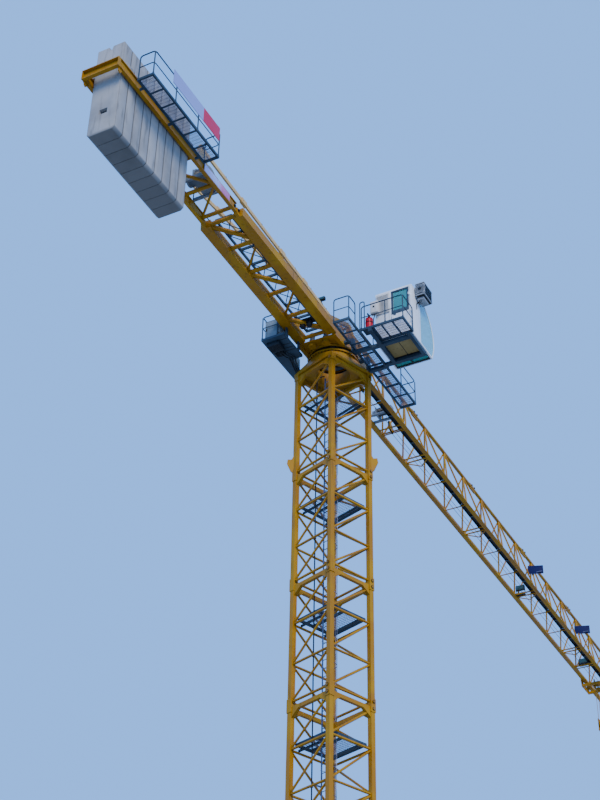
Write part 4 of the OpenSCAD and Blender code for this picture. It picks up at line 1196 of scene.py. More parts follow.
@dataclass
class SlewingRing:
    """The bolts of the slewing ring, the two gearmotors that turn it and the collar inside it.

    Args:
        bolts: how many bolts each race has.
        bolt_r: the radius of the bolt circle.
        across: a bolt head's width.
        motor_x: how far behind the axis the gearmotors stand.
        motor_y: from the middle to a gearmotor.
        plate: the ends along the jib of the plate that carries them.
        plate_half: half its width.
        plate_thick: its thickness.
        pinion_r: a pinion's radius to the foot of its teeth.
        teeth: how many teeth it has.
        guard_drop: from the plate to the underside of a pinion's guard.
        collar_r: the inner radius of the collar that lines the ring's opening.
        collar_in: the inner radius of the lip on top of it.
        collar_h: its height.
        rail_low: from the deck's underside to the feet of its grab rails.
        rail_y: from the middle to a grab rail.
        rail_half: half a grab rail's length.
        rail_h: its height.
    """

    bolts: int = 44
    bolt_r: float = 0.437
    across: float = 15 * MM
    motor_x: float = -0.535
    motor_y: float = 0.13
    plate: PlanPoint = (-0.638, -0.450)
    plate_half: float = 0.2985
    plate_thick: float = 12 * MM
    pinion_r: float = 0.025
    teeth: int = 16
    guard_drop: float = 0.062
    collar_r: float = 0.285
    collar_in: float = 0.244
    collar_h: float = 0.110
    rail_low: float = 0.108
    rail_y: float = 0.268
    rail_half: float = 0.05
    rail_h: float = 0.16

    def build(self) -> None:
        """Builds the bolts, the gearmotors and the collar."""
        lower, upper = bmesh.new(), bmesh.new()
        for i in range(self.bolts):
            angle = 2 * pi * i / self.bolts
            x, y = self.bolt_r * cos(angle), self.bolt_r * sin(angle)
            add_bolt(lower, (x, y, CRANE.ring_z - 30 * MM), (0, 0, -1), self.across)
            if abs(y) < 0.29 or x > 0.60:
                add_bolt(upper, (x, y, CRANE.deck_z + 30 * MM), (0, 0, 1), self.across)
        finish_piece("lower_race_bolts", lower, GREASED_STEEL, Body.TOWER)
        finish_piece("upper_race_bolts", upper, GREASED_STEEL)
        self.build_motors()
        self.build_collar()

    def build_motors(self) -> None:
        """Builds the gearmotors on the plate that carries them behind the ring."""
        seat = CRANE.deck_z + 30 * MM + SEAT
        top = seat + self.plate_thick
        plate, motors, pinions, guards = (bmesh.new() for _ in range(4))
        low, high = (self.plate[0], -self.plate_half, seat), (self.plate[1], self.plate_half, top)
        add_box(plate, low, high, 2 * MM)
        housing = (
            (0, 0), (0.062, 0), (0.062, 0.014), (0.050, 0.018), (0.050, 0.060),
            (0.056, 0.064), (0.056, 0.078), (0.040, 0.082), (0.040, 0.094), (0, 0.094),
        )
        ribs = [(0, 0.094), (0.037, 0.094)]
        for k in range(9):
            z = 0.100 + k * 0.010
            ribs += [(0.037, z), (0.043, z + 0.001), (0.043, z + 0.004), (0.037, z + 0.005)]
        ribs += [(0.037, 0.196), (0.045, 0.198), (0.045, 0.222), (0.036, 0.230), (0, 0.230)]
        cup = (
            (0, 0), (0.066, 0), (0.070, 0.004), (0.070, 0.0585), (0.062, 0.0585),
            (0.062, 0.006), (0, 0.006),
        )
        for side in (-1, 1):
            x, y = self.motor_x, side * self.motor_y
            add_lathed(motors, housing, (x, y, top), (0, 0, 1))
            add_lathed(motors, ribs, (x, y, top), (0, 0, 1))
            low = (x - 0.072, y - 0.022, top + 0.12)
            add_box(motors, low, (x - 0.036, y + 0.022, top + 0.165), 3 * MM)
            for k in range(6):
                angle = pi * k / 3
                spot = (x + 0.055 * cos(angle), y + 0.055 * sin(angle), top + 0.014)
                add_bolt(motors, spot, (0, 0, 1), 9 * MM)
            add_tube(pinions, (x, y, seat - 0.055), (x, y, seat), 2 * self.pinion_r, 20)
            for k in range(self.teeth):
                angle = 2 * pi * k / self.teeth
                out = Vector((cos(angle), sin(angle), 0)) * (self.pinion_r + 2 * MM)
                foot = Vector((x, y, seat - 0.052)) + out
                add_tube(pinions, foot, foot + Vector((0, 0, 0.036)), 0.009, 6)
            add_lathed(guards, cup, (x, y, seat - self.guard_drop), (0, 0, 1))
        finish_piece("gearmotor_plate", plate, CRANE_ENAMEL)
        finish_piece("slewing_gearmotors", motors, WINCH_ENAMEL)
        finish_piece("slewing_pinions", pinions, GREASED_STEEL)
        finish_piece("pinion_guards", guards, CRANE_ENAMEL)

    def build_collar(self) -> None:
        """Builds the dark collar that lines the way up through the ring, with its grab rails."""
        bm = bmesh.new()
        r, lip, h = self.collar_r, self.collar_in, self.collar_h
        out, under = r + 8 * MM, h - 6 * MM
        wall = ((r, 0), (out, 0), (out, h), (lip, h), (lip, under), (r, under), (r, 0))
        add_lathed(bm, wall, (0, 0, CRANE.deck_z + 2 * MM), (0, 0, 1), 48)
        low, half = CRANE.deck_z + self.rail_low, self.rail_half
        high = low + self.rail_h
        for y in (-self.rail_y, self.rail_y):
            rail = [(-half, y, low), (-half, y, high), (half, y, high), (half, y, low)]
            add_swept_tube(bm, round_corners(rail, 0.03), 10 * MM)
        finish_piece("way_collar", bm, BLACK_ENAMEL)


# Sub-assemblies of the upper part


@dataclass
class UpperGratings:
    """The bar gratings in the upper platforms' edge channels and the jib catwalk's tread plates.

    Args:
        decks: each deck's lowest and highest corners in plan, and its channels' underside.
        lip: from a deck's edge to its grating.
        lift: from the channels' underside to the grating.
        thick: the grating's thickness.
        tread_y: the tread plates' edges across the jib.
        tread_lips: where the lips on those edges start.
        tread_lift: from the bottom chords' middle to the tread plates.
        tread_gap: half the gap between two tread plates.
        tread_start: from the jib's start to the first one.
        tread_end: where the last one ends.
    """

    decks: tuple[tuple[PlanPoint, PlanPoint, float], ...] = (
        ((-6.975, -0.660), (-5.110, -0.385), CRANE.outer_z),
        ((-1.130, -0.870), (1.590, -0.565), CRANE.floor_z),
        ((-1.250, 0.305), (-0.560, 0.740), CRANE.floor_z),
        ((-0.586, 0.540), (0, 0.740), CRANE.floor_z),
        ((-0.750, -1.690), (-0.326, -1.100), CRANE.floor_z),
    )
    lip: float = 26.3 * MM
    lift: float = 30 * MM
    thick: float = 14 * MM
    tread_y: PlanPoint = (-0.202, -0.102)
    tread_lips: PlanPoint = (-0.201, -0.106)
    tread_lift: float = 44 * MM
    tread_gap: float = 4 * MM
    tread_start: float = 45 * MM
    tread_end: float = 17.955

    def build(self) -> None:
        """Builds the gratings in one piece and the tread plates in another."""
        bm = bmesh.new()
        for low, high, z in self.decks:
            floor = z + self.lift
            start = (low[0] + self.lip, low[1] + self.lip, floor)
            end = (high[0] - self.lip, high[1] - self.lip, floor + self.thick)
            OpenGrating(start, end, along_x=True).add(bm)
        old = "upper_gratings"
        finish_piece("deck_bar_gratings", bm, ZINC, replaces=old)
        self.build_catwalk()

    def build_catwalk(self) -> None:
        """Builds the dark tread plates on the jib's catwalk, three to each section."""
        bm = bmesh.new()
        z = CRANE.chord_z + self.tread_lift
        length = CRANE.jib_section / 3
        for i in range(3 * CRANE.jib_sections):
            x = CRANE.jib_start + i * length
            low = x + (self.tread_start if i == 0 else self.tread_gap)
            high = min(x + length - self.tread_gap, self.tread_end)
            add_box(bm, (low, self.tread_y[0], z), (high, self.tread_y[1], z + 3 * MM), 1 * MM)
            for y in self.tread_lips:
                add_box(bm, (low, y, z + 2 * MM), (high, y + 3 * MM, z + 10 * MM), 0.5 * MM)
        finish_piece("jib_tread_plates", bm, BLACK_ENAMEL)


@dataclass
class GuardRails:
    """Round tube guard rails: bent top rails, knee rails, posts and their base plates.

    Args:
        runs: each run's corners in plan and the underside of its platform's channels.
        hoop: the plan corners of the narrow hoop where the walkway meets the cab's deck.
        height: from the platform to the top rail's middle.
        tube: the tube's diameter.
        bend: how far from a corner its bend starts.
    """

    runs: tuple[tuple[tuple[PlanPoint, ...], float], ...] = (
        (((-6.963, -0.397), (-6.963, -0.648), (-6.353, -0.648), (-5.732, -0.648),
          (-5.122, -0.648), (-5.122, -0.397)), CRANE.outer_z),
        (((-1.118, -0.577), (-1.118, -0.858), (-0.880, -0.858)), CRANE.floor_z),
        (((0.970, -0.858), (1.578, -0.858), (1.578, -0.577)), CRANE.floor_z),
        (((-1.238, 0.440), (-1.238, 0.728), (-0.930, 0.728)), CRANE.floor_z),
        (((-0.738, -0.910), (-0.738, -1.350), (-0.738, -1.678), (-0.338, -1.678)), CRANE.floor_z),
    )
    hoop: tuple[PlanPoint, PlanPoint] = ((-0.738, -0.880), (-0.738, -0.965))
    height: float = 0.475
    tube: float = 20 * MM
    bend: float = 50 * MM

    def build(self) -> None:
        """Builds every run and the hoop in one piece."""
        bm = bmesh.new()
        for corners, floor in self.runs:
            self.add_run(bm, corners, floor + CRANE.edge_h + SEAT)
        (x0, y0), (x1, y1) = self.hoop
        low = CRANE.floor_z + CRANE.edge_h + SEAT - 0.020
        high = low + self.height + 0.13
        arch = [(x0, y0, low), (x0, y0, high), (x1, y1, high), (x1, y1, low)]
        add_swept_tube(bm, round_corners(arch, 0.04), self.tube)
        steel, old = Slot.PLATFORM_STEEL, "guard_rails"
        finish_piece("bent_guard_rails", bm, PLATFORM_ENAMEL, replaces=old)

    def add_run(self, bm: Mesh, corners: Sequence[PlanPoint], deck: float) -> None:
        """Adds one run with its top rail, knee rail, posts and base plates.

        Args:
            bm: the mesh that gets it.
            corners: where its posts stand in plan.
            deck: the height it stands on.
        """
        top = deck + self.height
        line = [(*corners[0], deck), *((*corner, top) for corner in corners), (*corners[-1], deck)]
        add_swept_tube(bm, round_corners(line, self.bend), self.tube)
        for corner in corners[1:-1]:
            add_tube(bm, (*corner, deck), (*corner, top - self.bend * 0.3), self.tube)
        middle = [(*corner, deck + self.height / 2) for corner in corners]
        add_swept_tube(bm, round_corners(middle, self.bend), self.tube * 0.8)
        for x, y in corners:
            add_tube(bm, (x, y, deck), (x, y, deck + 22 * MM), self.tube * 1.35, 12)
            add_box(bm, (x - 12 * MM, y - 12 * MM, deck), (x + 12 * MM, y + 12 * MM, deck + 5 * MM))


@dataclass
class Counterweight:
    """The hanging slabs' lifting loops and the dark liner of the far slab's recess.

    Args:
        first_x: the far face of the last slab.
        pitch: from slab to slab.
        count: how many slabs hang.
        thick: a slab's thickness.
        top_z: the height of the slabs' tops.
        notch_z: the bottom of the notch in them.
        loop: the diameter of the loop's bar.
        loop_y: from the middle to a loop.
        loop_half: half a loop's length.
        recess_x: where the recess in the far slab ends.
        recess_z: the height of its middle.
        recess_size: its width and height.
    """

    first_x: float = -7.165
    pitch: float = 0.206
    count: int = 9
    thick: float = 0.202
    top_z: float = 18.300
    notch_z: float = 18.230
    loop: float = 14 * MM
    loop_y: float = 0.115
    loop_half: float = 0.045
    recess_x: float = -7.1075
    recess_z: float = 16.945
    recess_size: PlanPoint = (0.127, 0.085)

    def build(self) -> None:
        """Softens the slabs' edges, lines the far recess and builds the loops."""
        soften_node("counterweight_slabs", 7 * MM)
        bm = bmesh.new()
        for i in range(self.count):
            x = self.first_x + i * self.pitch + self.thick / 2
            low, high, half = self.top_z - 0.020, self.top_z + 0.032, self.loop_half
            for y in (-self.loop_y, self.loop_y):
                arch = [(x - half, y, low), (x - half, y, high), (x + half, y, high), (x + half, y, low)]
                add_swept_tube(bm, round_corners(arch, 0.035), self.loop, 6)
            foot = (x, -0.012, self.notch_z - 0.020)
            add_tube(bm, foot, (x, 0.012, self.notch_z + 0.065), self.loop, 8)
        finish_piece("slab_lifting_loops", bm, GREASED_STEEL)
        liner = bmesh.new()
        x, z, (width, height) = self.recess_x, self.recess_z, self.recess_size
        low = (x - 4 * MM, -width / 2, z - height / 2)
        add_box(liner, low, (x, width / 2, z + height / 2), 1 * MM)
        add_tube(liner, (x - 0.0425, 0, z), (x - 0.0015, 0, z), 22 * MM, 12)
        finish_piece("slab_recess_liner", liner, BLACK_ENAMEL)


@dataclass
class HoistWinch:
    """A winch's wound rope and its motor's fins, cowl and terminal box.

    Args:
        x: the drum's place along the jib.
        z: the height of its axis.
        drum_r: the drum's radius.
        low_y: where the rope's first turn lies.
        high_y: where its last turn lies.
        rope: the rope's diameter.
        motor_r: the motor's radius.
        motor_y: where the motor starts and ends.
        fins: how many fins it has.
        name: the start of its pieces' names.
    """

    x: float = -4.5408
    z: float = 17.9503
    drum_r: float = 0.140
    low_y: float = -0.131
    high_y: float = 0.051
    rope: float = 8 * MM
    motor_r: float = 0.085
    motor_y: PlanPoint = (0.080, 0.240)
    fins: int = 26
    name: str = "hoist"

    def build(self) -> None:
        """Builds the winding and the motor's fittings."""
        bm = bmesh.new()
        turns = round((self.high_y - self.low_y) / self.rope)
        profile: list[PlanPoint] = [(self.drum_r - 2 * MM, self.low_y)]
        for i in range(turns):
            y = self.low_y + i * self.rope
            for share, rise in ((0, 0.15), (0.25, 0.85), (0.5, 1.0), (0.75, 0.85)):
                profile.append((self.drum_r + rise * self.rope, y + share * self.rope))
        profile.append((self.drum_r - 2 * MM, self.high_y))
        add_lathed(bm, profile, (self.x, 0, self.z), (0, 1, 0), 36)
        finish_piece(f"{self.name}_winding", bm, ROPE_STEEL)
        self.build_motor()

    def build_motor(self) -> None:
        """Builds the motor's fins, cowl and terminal box."""
        bm = bmesh.new()
        start, end = self.motor_y
        r = self.motor_r
        for i in range(self.fins):
            angle = 2 * pi * i / self.fins
            out = Vector((cos(angle), 0, sin(angle)))
            side = Vector((-sin(angle), 0, cos(angle)))
            foot = Vector((self.x, start + 0.012, self.z)) + out * (r - 2 * MM)
            half, rise = side * 1.5 * MM, out * r * 0.10
            corners = [foot - half, foot + half, foot + half + rise, foot - half + rise]
            add_plate(bm, corners, (0, (end - start) * 0.72, 0))
        cowl = (
            (0, 0), (r * 1.08, 0), (r * 1.10, r * 0.06), (r * 1.10, r * 0.34),
            (r * 0.98, r * 0.46), (r * 0.30, r * 0.46), (r * 0.26, r * 0.42), (0, r * 0.42),
        )
        add_lathed(bm, cowl, (self.x, end - r * 0.36, self.z), (0, 1, 0), 28)
        low = (self.x + r * 0.9, start + 0.02, self.z - r * 0.3)
        add_box(bm, low, (self.x + r * 1.35, start + 0.02 + r, self.z + r * 0.45), 4 * MM)
        finish_piece(f"{self.name}_motor_fins", bm, WINCH_ENAMEL)


@dataclass
class Ropes:
    """The taut hoist rope and the trolley's rope, with the sheaves that guide them into the jib.

    Args:
        hoist_y: the hoist rope's place across the jib.
        trolley_y: the trolley rope's place.
        run_z: the height of both along the jib.
        rope: their diameter.
        sheave_r: the radius of the guiding sheaves at the rope's middle.
        hoist_guide: where the hoist rope's guides stand along the jib.
        trolley_guide: where the trolley rope's guides stand.
        winch: where the trolley rope leaves its winch, along the jib and in height.
        head: the middle of the head's sheave, along the jib and in height.
        head_r: its radius at the rope's middle.
        bar_y: from the middle to the ends of the guides' cross bars.
        bar_z: the cross bars' lower and upper edges.
    """

    hoist_y: float = -0.060
    trolley_y: float = 0.014
    run_z: float = 17.497
    rope: float = 8 * MM
    sheave_r: float = 0.050
    hoist_guide: float = 1.010
    trolley_guide: float = 2.410
    winch: PlanPoint = (2.050, 17.8165)
    head: PlanPoint = (18.340, 17.720)
    head_r: float = 0.079
    bar_y: float = 0.2137
    bar_z: PlanPoint = (17.538, 17.562)

    def build(self) -> None:
        """Builds the ropes, then the sheaves and their cheeks."""
        bm = bmesh.new()
        y, z, r = self.hoist_y, self.run_z, self.sheave_r
        drum = HoistWinch()
        high = drum.z + drum.drum_r + self.rope / 2
        x = self.hoist_guide
        hoist = [(drum.x, y, high), (x, y, 17.695), (x, y, z), (18.370, y, z)]
        add_swept_tube(bm, round_corners(hoist, r), self.rope)
        x, y = self.trolley_guide, self.trolley_y
        (start, low), (end, mid), turn_r = self.winch, self.head, self.head_r
        out = [(start, y, low), (x, y, 17.640), (x, y, z), (18.090, y, z)]
        angles = [radians(degrees) for degrees in range(-135, 91, 15)]
        head = [(end + turn_r * cos(a), y, mid + turn_r * sin(a)) for a in angles]
        back = [(18.0, y, mid + turn_r), (start, -0.05, low)]
        add_swept_tube(bm, round_corners(out, r) + [Vector(p) for p in head + back], self.rope)
        finish_piece("jib_ropes", bm, ROPE_STEEL)
        self.build_guides()

    def build_guides(self) -> None:
        """Builds two pairs of sheaves, each between cheeks on two cross bars."""
        bm, cheeks = bmesh.new(), bmesh.new()
        r, z, (z0, z1) = self.sheave_r, self.run_z, self.bar_z
        for x, y in ((self.hoist_guide, self.hoist_y), (self.trolley_guide, self.trolley_y)):
            for centre in ((x - r, y, z + 3.2 * r), (x + r, y, z + r)):
                add_sheave(bm, centre, r + 4 * MM, 14 * MM)
            for side in (-1, 1):
                face = y + side * 12 * MM
                outline = [
                    (x - 0.085, face, z + 0.038), (x + 0.085, face, z + 0.020),
                    (x + 0.085, face, z + 0.085), (x - 0.020, face, z + 0.205),
                    (x - 0.085, face, z + 0.205),
                ]
                add_plate(cheeks, outline, (0, side * 5 * MM, 0), 1.5 * MM)
            for end in (x - 0.075, x + 0.055):
                add_box(cheeks, (end, -self.bar_y, z0), (end + 0.020, self.bar_y, z1), 2 * MM)
        anchor = (18.355, self.hoist_y - 0.014, z - 0.012)
        add_box(cheeks, anchor, (18.395, self.hoist_y + 0.014, CRANE.jib_z + 0.01), 3 * MM)
        finish_piece("guide_sheaves", bm, GREASED_STEEL)
        finish_piece("guide_cheeks", cheeks, CRANE_ENAMEL)


def add_sheave(bm: Mesh, centre: Numbers, radius: float, width: float) -> None:
    """Adds a grooved sheave that turns about a line across the jib.

    Args:
        bm: the mesh that gets it.
        centre: its middle.
        radius: its outer radius.
        width: its width at the rim.
    """
    half = width / 2
    side = (
        (0, half * 1.3), (radius * 0.24, half * 1.3), (radius * 0.26, half * 0.45),
        (radius * 0.72, half * 0.45), (radius * 0.78, half), (radius, half), (radius, half * 0.72),
    )
    low = [(r, -h) for r, h in side]
    profile = (*low, (radius - half * 1.1, 0), *reversed(side))
    add_lathed(bm, profile, centre, (0, 1, 0), 28)


@dataclass
class CounterJibFittings:
    """The tie bars' lifelines, the joint pins, the lamp, a blank strip, the cable and the motors.

    Args:
        tie_pin: where the tie bars hang from the head frame.
        tie_foot: where they meet their lugs on the outer girders.
        joint_x: where the inner and the outer girders are pinned.
        joint_pins: the joint pins' places behind joint_x, heights and faces from the middle.
        lug_face: from the middle to the face of a tie lug.
        tie_joints: how far down a tie its own joints lie, as shares of its length.
        lamp: the middle of the lamp, on the right tie.
        strip: the blank strip's ends along the girder.
        strip_z: its lower and upper edges.
        girder_face: from the middle to the outer girder's side, under the strip.
        motors: the small motors' places in plan, between the inner girders.
        motor_z: the height of their undersides.
    """

    tie_pin: Point = (0.470, 0.030, 18.330)
    tie_foot: Point = (-5.050, 0.293, 18.000)
    joint_x: float = -3.945
    joint_pins: tuple[Point, ...] = ((0, 17.612, 0.3303), (0.10, 17.640, 0.3133))
    lug_face: float = 0.3112
    tie_joints: Point = (0.31, 0.47, 0.73)
    lamp: Point = (-0.634, -0.083, 18.394)
    strip: PlanPoint = (-4.98, -4.22)
    strip_z: PlanPoint = (17.580, 17.725)
    girder_face: float = 0.3223
    motors: tuple[PlanPoint, ...] = ((-1.010, -0.055), (-1.010, 0.070))
    motor_z: float = 17.520

    def build(self) -> None:
        """Builds every fitting."""
        self.build_lifelines()
        self.build_pins()
        self.build_lamp()
        self.build_strip()
        self.build_cable()
        self.build_motors()

    def build_lifelines(self) -> None:
        """Builds the cables on the ties' upper edges, with their clips."""
        lines, clips = bmesh.new(), bmesh.new()
        for side in (-1, 1):
            start = Vector((self.tie_pin[0], side * self.tie_pin[1], self.tie_pin[2]))
            end = Vector((self.tie_foot[0], side * self.tie_foot[1], self.tie_foot[2]))
            lift = Vector((0, side * 4 * MM, 0.040))
            first, last = start.lerp(end, 0.05), start.lerp(end, 0.975)
            add_tube(lines, first + lift, last + lift, 9 * MM, 8)
            for i in range(9):
                spot = first.lerp(last, i / 8) + lift
                low = spot - Vector((0.009, 0.012, 0.020))
                add_box(clips, low, spot + Vector((0.009, 0.012, 0.008)))
        finish_piece("tie_lifelines", lines, RUBBER)
        finish_piece("lifeline_clips", clips, ZINC)

    def build_pins(self) -> None:
        """Builds the flanged pins that join the girders, the ties and the tie lugs."""
        bm = bmesh.new()
        pin = (
            (0, 0), (0.026, 0), (0.026, 0.010), (0.019, 0.012), (0.019, 0.020), (0, 0.022)
        )
        spots = [(self.joint_x - behind, face, z) for behind, z, face in self.joint_pins]
        spots.append((self.tie_foot[0], self.lug_face, self.tie_foot[2]))
        near, far = Vector(self.tie_pin), Vector(self.tie_foot)
        for side in (-1, 1):
            for x, y, z in spots:
                add_lathed(bm, pin, (x, side * y, z), (0, side, 0), 16)
            for t in self.tie_joints:
                for step in (0.006, 0.024):
                    spot = near.lerp(far, t + step)
                    ends = [(spot.x, side * (spot.y + way), spot.z) for way in (-0.026, 0.026)]
                    add_tube(bm, *ends, 22 * MM, 12)
        finish_piece("girder_pins", bm, GREASED_STEEL)

    def build_lamp(self) -> None:
        """Builds the lamp on its foot, clamped to the right tie."""
        x, y, z = self.lamp
        bm = bmesh.new()
        add_box(bm, (x - 0.016, y - 0.010, z - 0.100), (x + 0.016, y + 0.010, z - 0.028), 3 * MM)
        add_box(bm, (x - 0.040, y - 0.018, z - 0.104), (x + 0.034, y + 0.018, z - 0.088), 1.5 * MM)
        add_box(bm, (x - 0.026, y - 0.075, z - 0.034), (x + 0.030, y + 0.075, z + 0.032), 7 * MM)
        for i in range(8):
            fin = y - 0.066 + i * 0.018
            add_box(bm, (x + 0.026, fin, z - 0.028), (x + 0.044, fin + 0.005, z + 0.026))
        finish_piece("rear_lamp", bm, BLACK_ENAMEL)
        glass = bmesh.new()
        low, high = (x - 0.030, y - 0.066, z - 0.026), (x - 0.0255, y + 0.066, z + 0.024)
        add_box(glass, low, high, 1.5 * MM)
        finish_piece("rear_lamp_glass", glass, LAMP_GLASS)

    def build_strip(self) -> None:
        """Builds the strip on the right outer girder, left blank, with its rivets."""
        bm = bmesh.new()
        (x0, x1), (z0, z1) = self.strip, self.strip_z
        front = -self.girder_face - 4 * MM
        add_box(bm, (x0, front, z0), (x1, -self.girder_face, z1), 1.5 * MM)
        for x in (x0 + 0.03, (x0 + x1) / 2, x1 - 0.03):
            for z in (z0 + 0.016, z1 - 0.016):
                add_bolt(bm, (x, front, z), (0, -1, 0), 8 * MM)
        finish_piece("girder_strip", bm, GIRDER_PANEL_ENAMEL)

    def build_cable(self) -> None:
        """Builds the supply cable on the left girders, from the ring to the hoist's motor."""
        bm = bmesh.new()
        low, high = CRANE.inner_top + 9 * MM, CRANE.outer_top + 9 * MM
        points = [
            (-0.66, 0.245, low), (-3.84, 0.245, low), (-4.03, 0.278, high), (-4.34, 0.278, high),
            (-4.437, 0.200, high + 0.07), (-4.437, 0.150, 17.925),
        ]
        add_swept_tube(bm, round_corners(points, 0.06), 16 * MM)
        finish_piece("hoist_cable", bm, RUBBER)

    def build_motors(self) -> None:
        """Builds the small motors between the inner girders, on the plate they hang from."""
        bm = bmesh.new()
        case = [(0, 0), (0.030, 0), (0.044, 0.008), (0.050, 0.022), (0.050, 0.034)]
        for k in range(6):
            z = 0.038 + k * 0.012
            case += [(0.045, z), (0.052, z + 0.002), (0.052, z + 0.006), (0.045, z + 0.008)]
        case += [(0.045, 0.112), (0.060, 0.114), (0.060, 0.124), (0, 0.124)]
        for spot in self.motors:
            add_lathed(bm, case, (*spot, self.motor_z), (0, 0, 1), 20)
        x, z = self.motors[0][0], self.motor_z + 0.123
        add_box(bm, (x - 0.080, -0.140, z), (x + 0.080, 0.145, z + 8.5 * MM), 1.5 * MM)
        finish_piece("girder_motors", bm, BLACK_ENAMEL)


@dataclass
class HeadFittings:
    """The collars and split pins at the head frame's two pins.

    Args:
        pins: the pins' places along the jib and their heights.
        out: from the middle to a pin's end.
    """

    pins: tuple[PlanPoint, ...] = ((0.510, 18.590), (0.470, 18.330))
    out: float = 0.090

    def build(self) -> None:
        """Builds the pins' ends."""
        bm = bmesh.new()
        collar = ((0, 0), (0.036, 0), (0.036, 0.008), (0.024, 0.010), (0, 0.012))
        for x, z in self.pins:
            for side in (-1, 1):
                add_lathed(bm, collar, (x, side * (self.out - 0.006), z), (0, side, 0), 20)
                spot = side * (self.out + 0.001)
                add_tube(bm, (x, spot, z - 0.040), (x, spot, z + 0.040), 7 * MM, 8)
        finish_piece("head_pin_collars", bm, GREASED_STEEL)


@dataclass
class JibFittings:
    """The jib's joint pins, the lamps that hang in it and its two blank plates.

    Args:
        plates: each plate's place along the jib, its ends across it and its lower edge.
        plate_h: a plate's height.
        plate_turn: how far a plate faces away from the jib's line, in degrees.
        lamps: each lamp's lowest and highest corners.
        fins: how many cooling fins a lamp has.
        bar_x: where the bar that carries the outer lamp starts and ends.
        bar_z: its lower and upper edges.
    """

    plates: tuple[tuple[float, float, float, float], ...] = (
        (9.590, -0.335, 0.0, 18.165),
        (12.490, -0.386, -0.040, 18.060),
    )
    plate_h: float = 0.205
    plate_turn: float = 20.0
    lamps: tuple[tuple[Point, Point], ...] = (
        ((9.270, 0.020, 17.665), (9.330, 0.215, 17.785)),
        ((13.020, -0.150, 17.590), (13.080, 0.115, 17.715)),
    )
    fins: int = 9
    bar_x: PlanPoint = (13.025, 13.075)
    bar_z: PlanPoint = (17.548, 17.568)

    def build(self) -> None:
        """Builds every fitting."""
        self.build_pins()
        self.build_plates()
        self.build_lamps()

    def build_pins(self) -> None:
        """Builds the washers and split pins at every joint of the chords."""
        bm = bmesh.new()
        joints = [CRANE.jib_start + i * CRANE.jib_section for i in range(CRANE.jib_sections + 1)]
        for joint in joints:
            for x in (joint - 0.065, joint + 0.065):
                for side in (-1, 1):
                    if joint < CRANE.jib_end or x < joint:
                        z = CRANE.top_z + 0.030
                        add_tube(bm, (x, side * 0.0335, z), (x, side * 0.0405, z), 42 * MM, 12)
                    z = CRANE.chord_z + 3 * MM
                    for way in (-1, 1):
                        face = side * CRANE.chord_y + way * (CRANE.chord / 2 - 1 * MM)
                        out = face + way * (2 if way == side else 15) * MM
                        add_tube(bm, (x, face, z), (x, out, z), 30 * MM, 10)
        finish_piece("chord_pins", bm, GREASED_STEEL)

    def build_plates(self) -> None:
        """Builds the two blank plates with their rims and clamps."""
        bm, clamps = bmesh.new(), bmesh.new()
        for x, low_y, high_y, z in self.plates:
            before = set(bm.verts)
            front, back, top = x - 2 * MM, x + 2 * MM, z + self.plate_h
            add_box(bm, (front, low_y, z), (back, high_y, top), 1.2 * MM)
            corners = ((low_y, z), (high_y, z), (high_y, top), (low_y, top))
            add_ring_frame(bm, [(front, *corner) for corner in corners], (-1, 0, 0), 3 * MM, 6 * MM)
            for y in (low_y + 0.05, high_y - 0.05):
                for height in (z + 0.025, top - 0.025):
                    add_bolt(bm, (front, y, height), (-1, 0, 0), 10 * MM)
            new = [vert for vert in bm.verts if vert not in before]
            turn = Matrix.Rotation(radians(self.plate_turn), 3, "Z")
            bmesh.ops.rotate(bm, verts=new, cent=(x, (low_y + high_y) / 2, z), matrix=turn)
            rail = z + 0.03
            add_box(clamps, (back, low_y + 0.03, rail), (x + 0.014, high_y + 0.03, rail + 0.02))
            y = -CRANE.chord_y * (CRANE.top_z - rail) / (CRANE.top_z - CRANE.chord_z)
            add_tube(clamps, (x + 0.02, y, rail - 0.03), (x + 0.05, y, rail + 0.05), 0.052, 10)
        finish_piece("blank_plates", bm, BLUE_ENAMEL)
        finish_piece("plate_clamps", clamps, ZINC)

    def build_lamps(self) -> None:
        """Builds the floodlights on their brackets over the end struts."""
        bm, glass = bmesh.new(), bmesh.new()
        for (x0, y0, z0), (x1, y1, z1) in self.lamps:
            add_box(bm, (x0, y0, z0), (x1, y1, z1), 9 * MM)
            for i in range(self.fins):
                y = y0 + 0.015 + (y1 - y0 - 0.034) * i / (self.fins - 1)
                add_box(bm, (x1 - 0.004, y, z0 + 0.012), (x1 + 0.016, y + 0.004, z1 - 0.012))
            low = (x0 - 3 * MM, y0 + 0.014, z0 + 0.014)
            add_box(glass, low, (x0, y1 - 0.014, z1 - 0.014), 1 * MM)
            mid = (x0 + x1) / 2
            foot = CRANE.chord_z + 0.010
            for y in (y0 - 0.006, y1 + 0.001):
                add_box(bm, (mid - 0.014, y, foot), (mid + 0.014, y + 0.005, z1 - 0.03))
            low, high = (mid - 0.075, y0 - 0.006, foot - 0.004), (mid + 0.075, y1 + 0.006, foot + 0.008)
            add_box(bm, low, high, 2 * MM)
        finish_piece("jib_floodlights", bm, BLACK_ENAMEL)
        bar = bmesh.new()
        reach = CRANE.chord_y - CRANE.chord / 2 + 1 * MM
        (x0, x1), (z0, z1) = self.bar_x, self.bar_z
        add_box(bar, (x0, -reach, z0), (x1, reach, z1), 3 * MM)
        finish_piece("lamp_cross_bar", bar, CRANE_ENAMEL)
        finish_piece("floodlight_glass", glass, LAMP_GLASS)


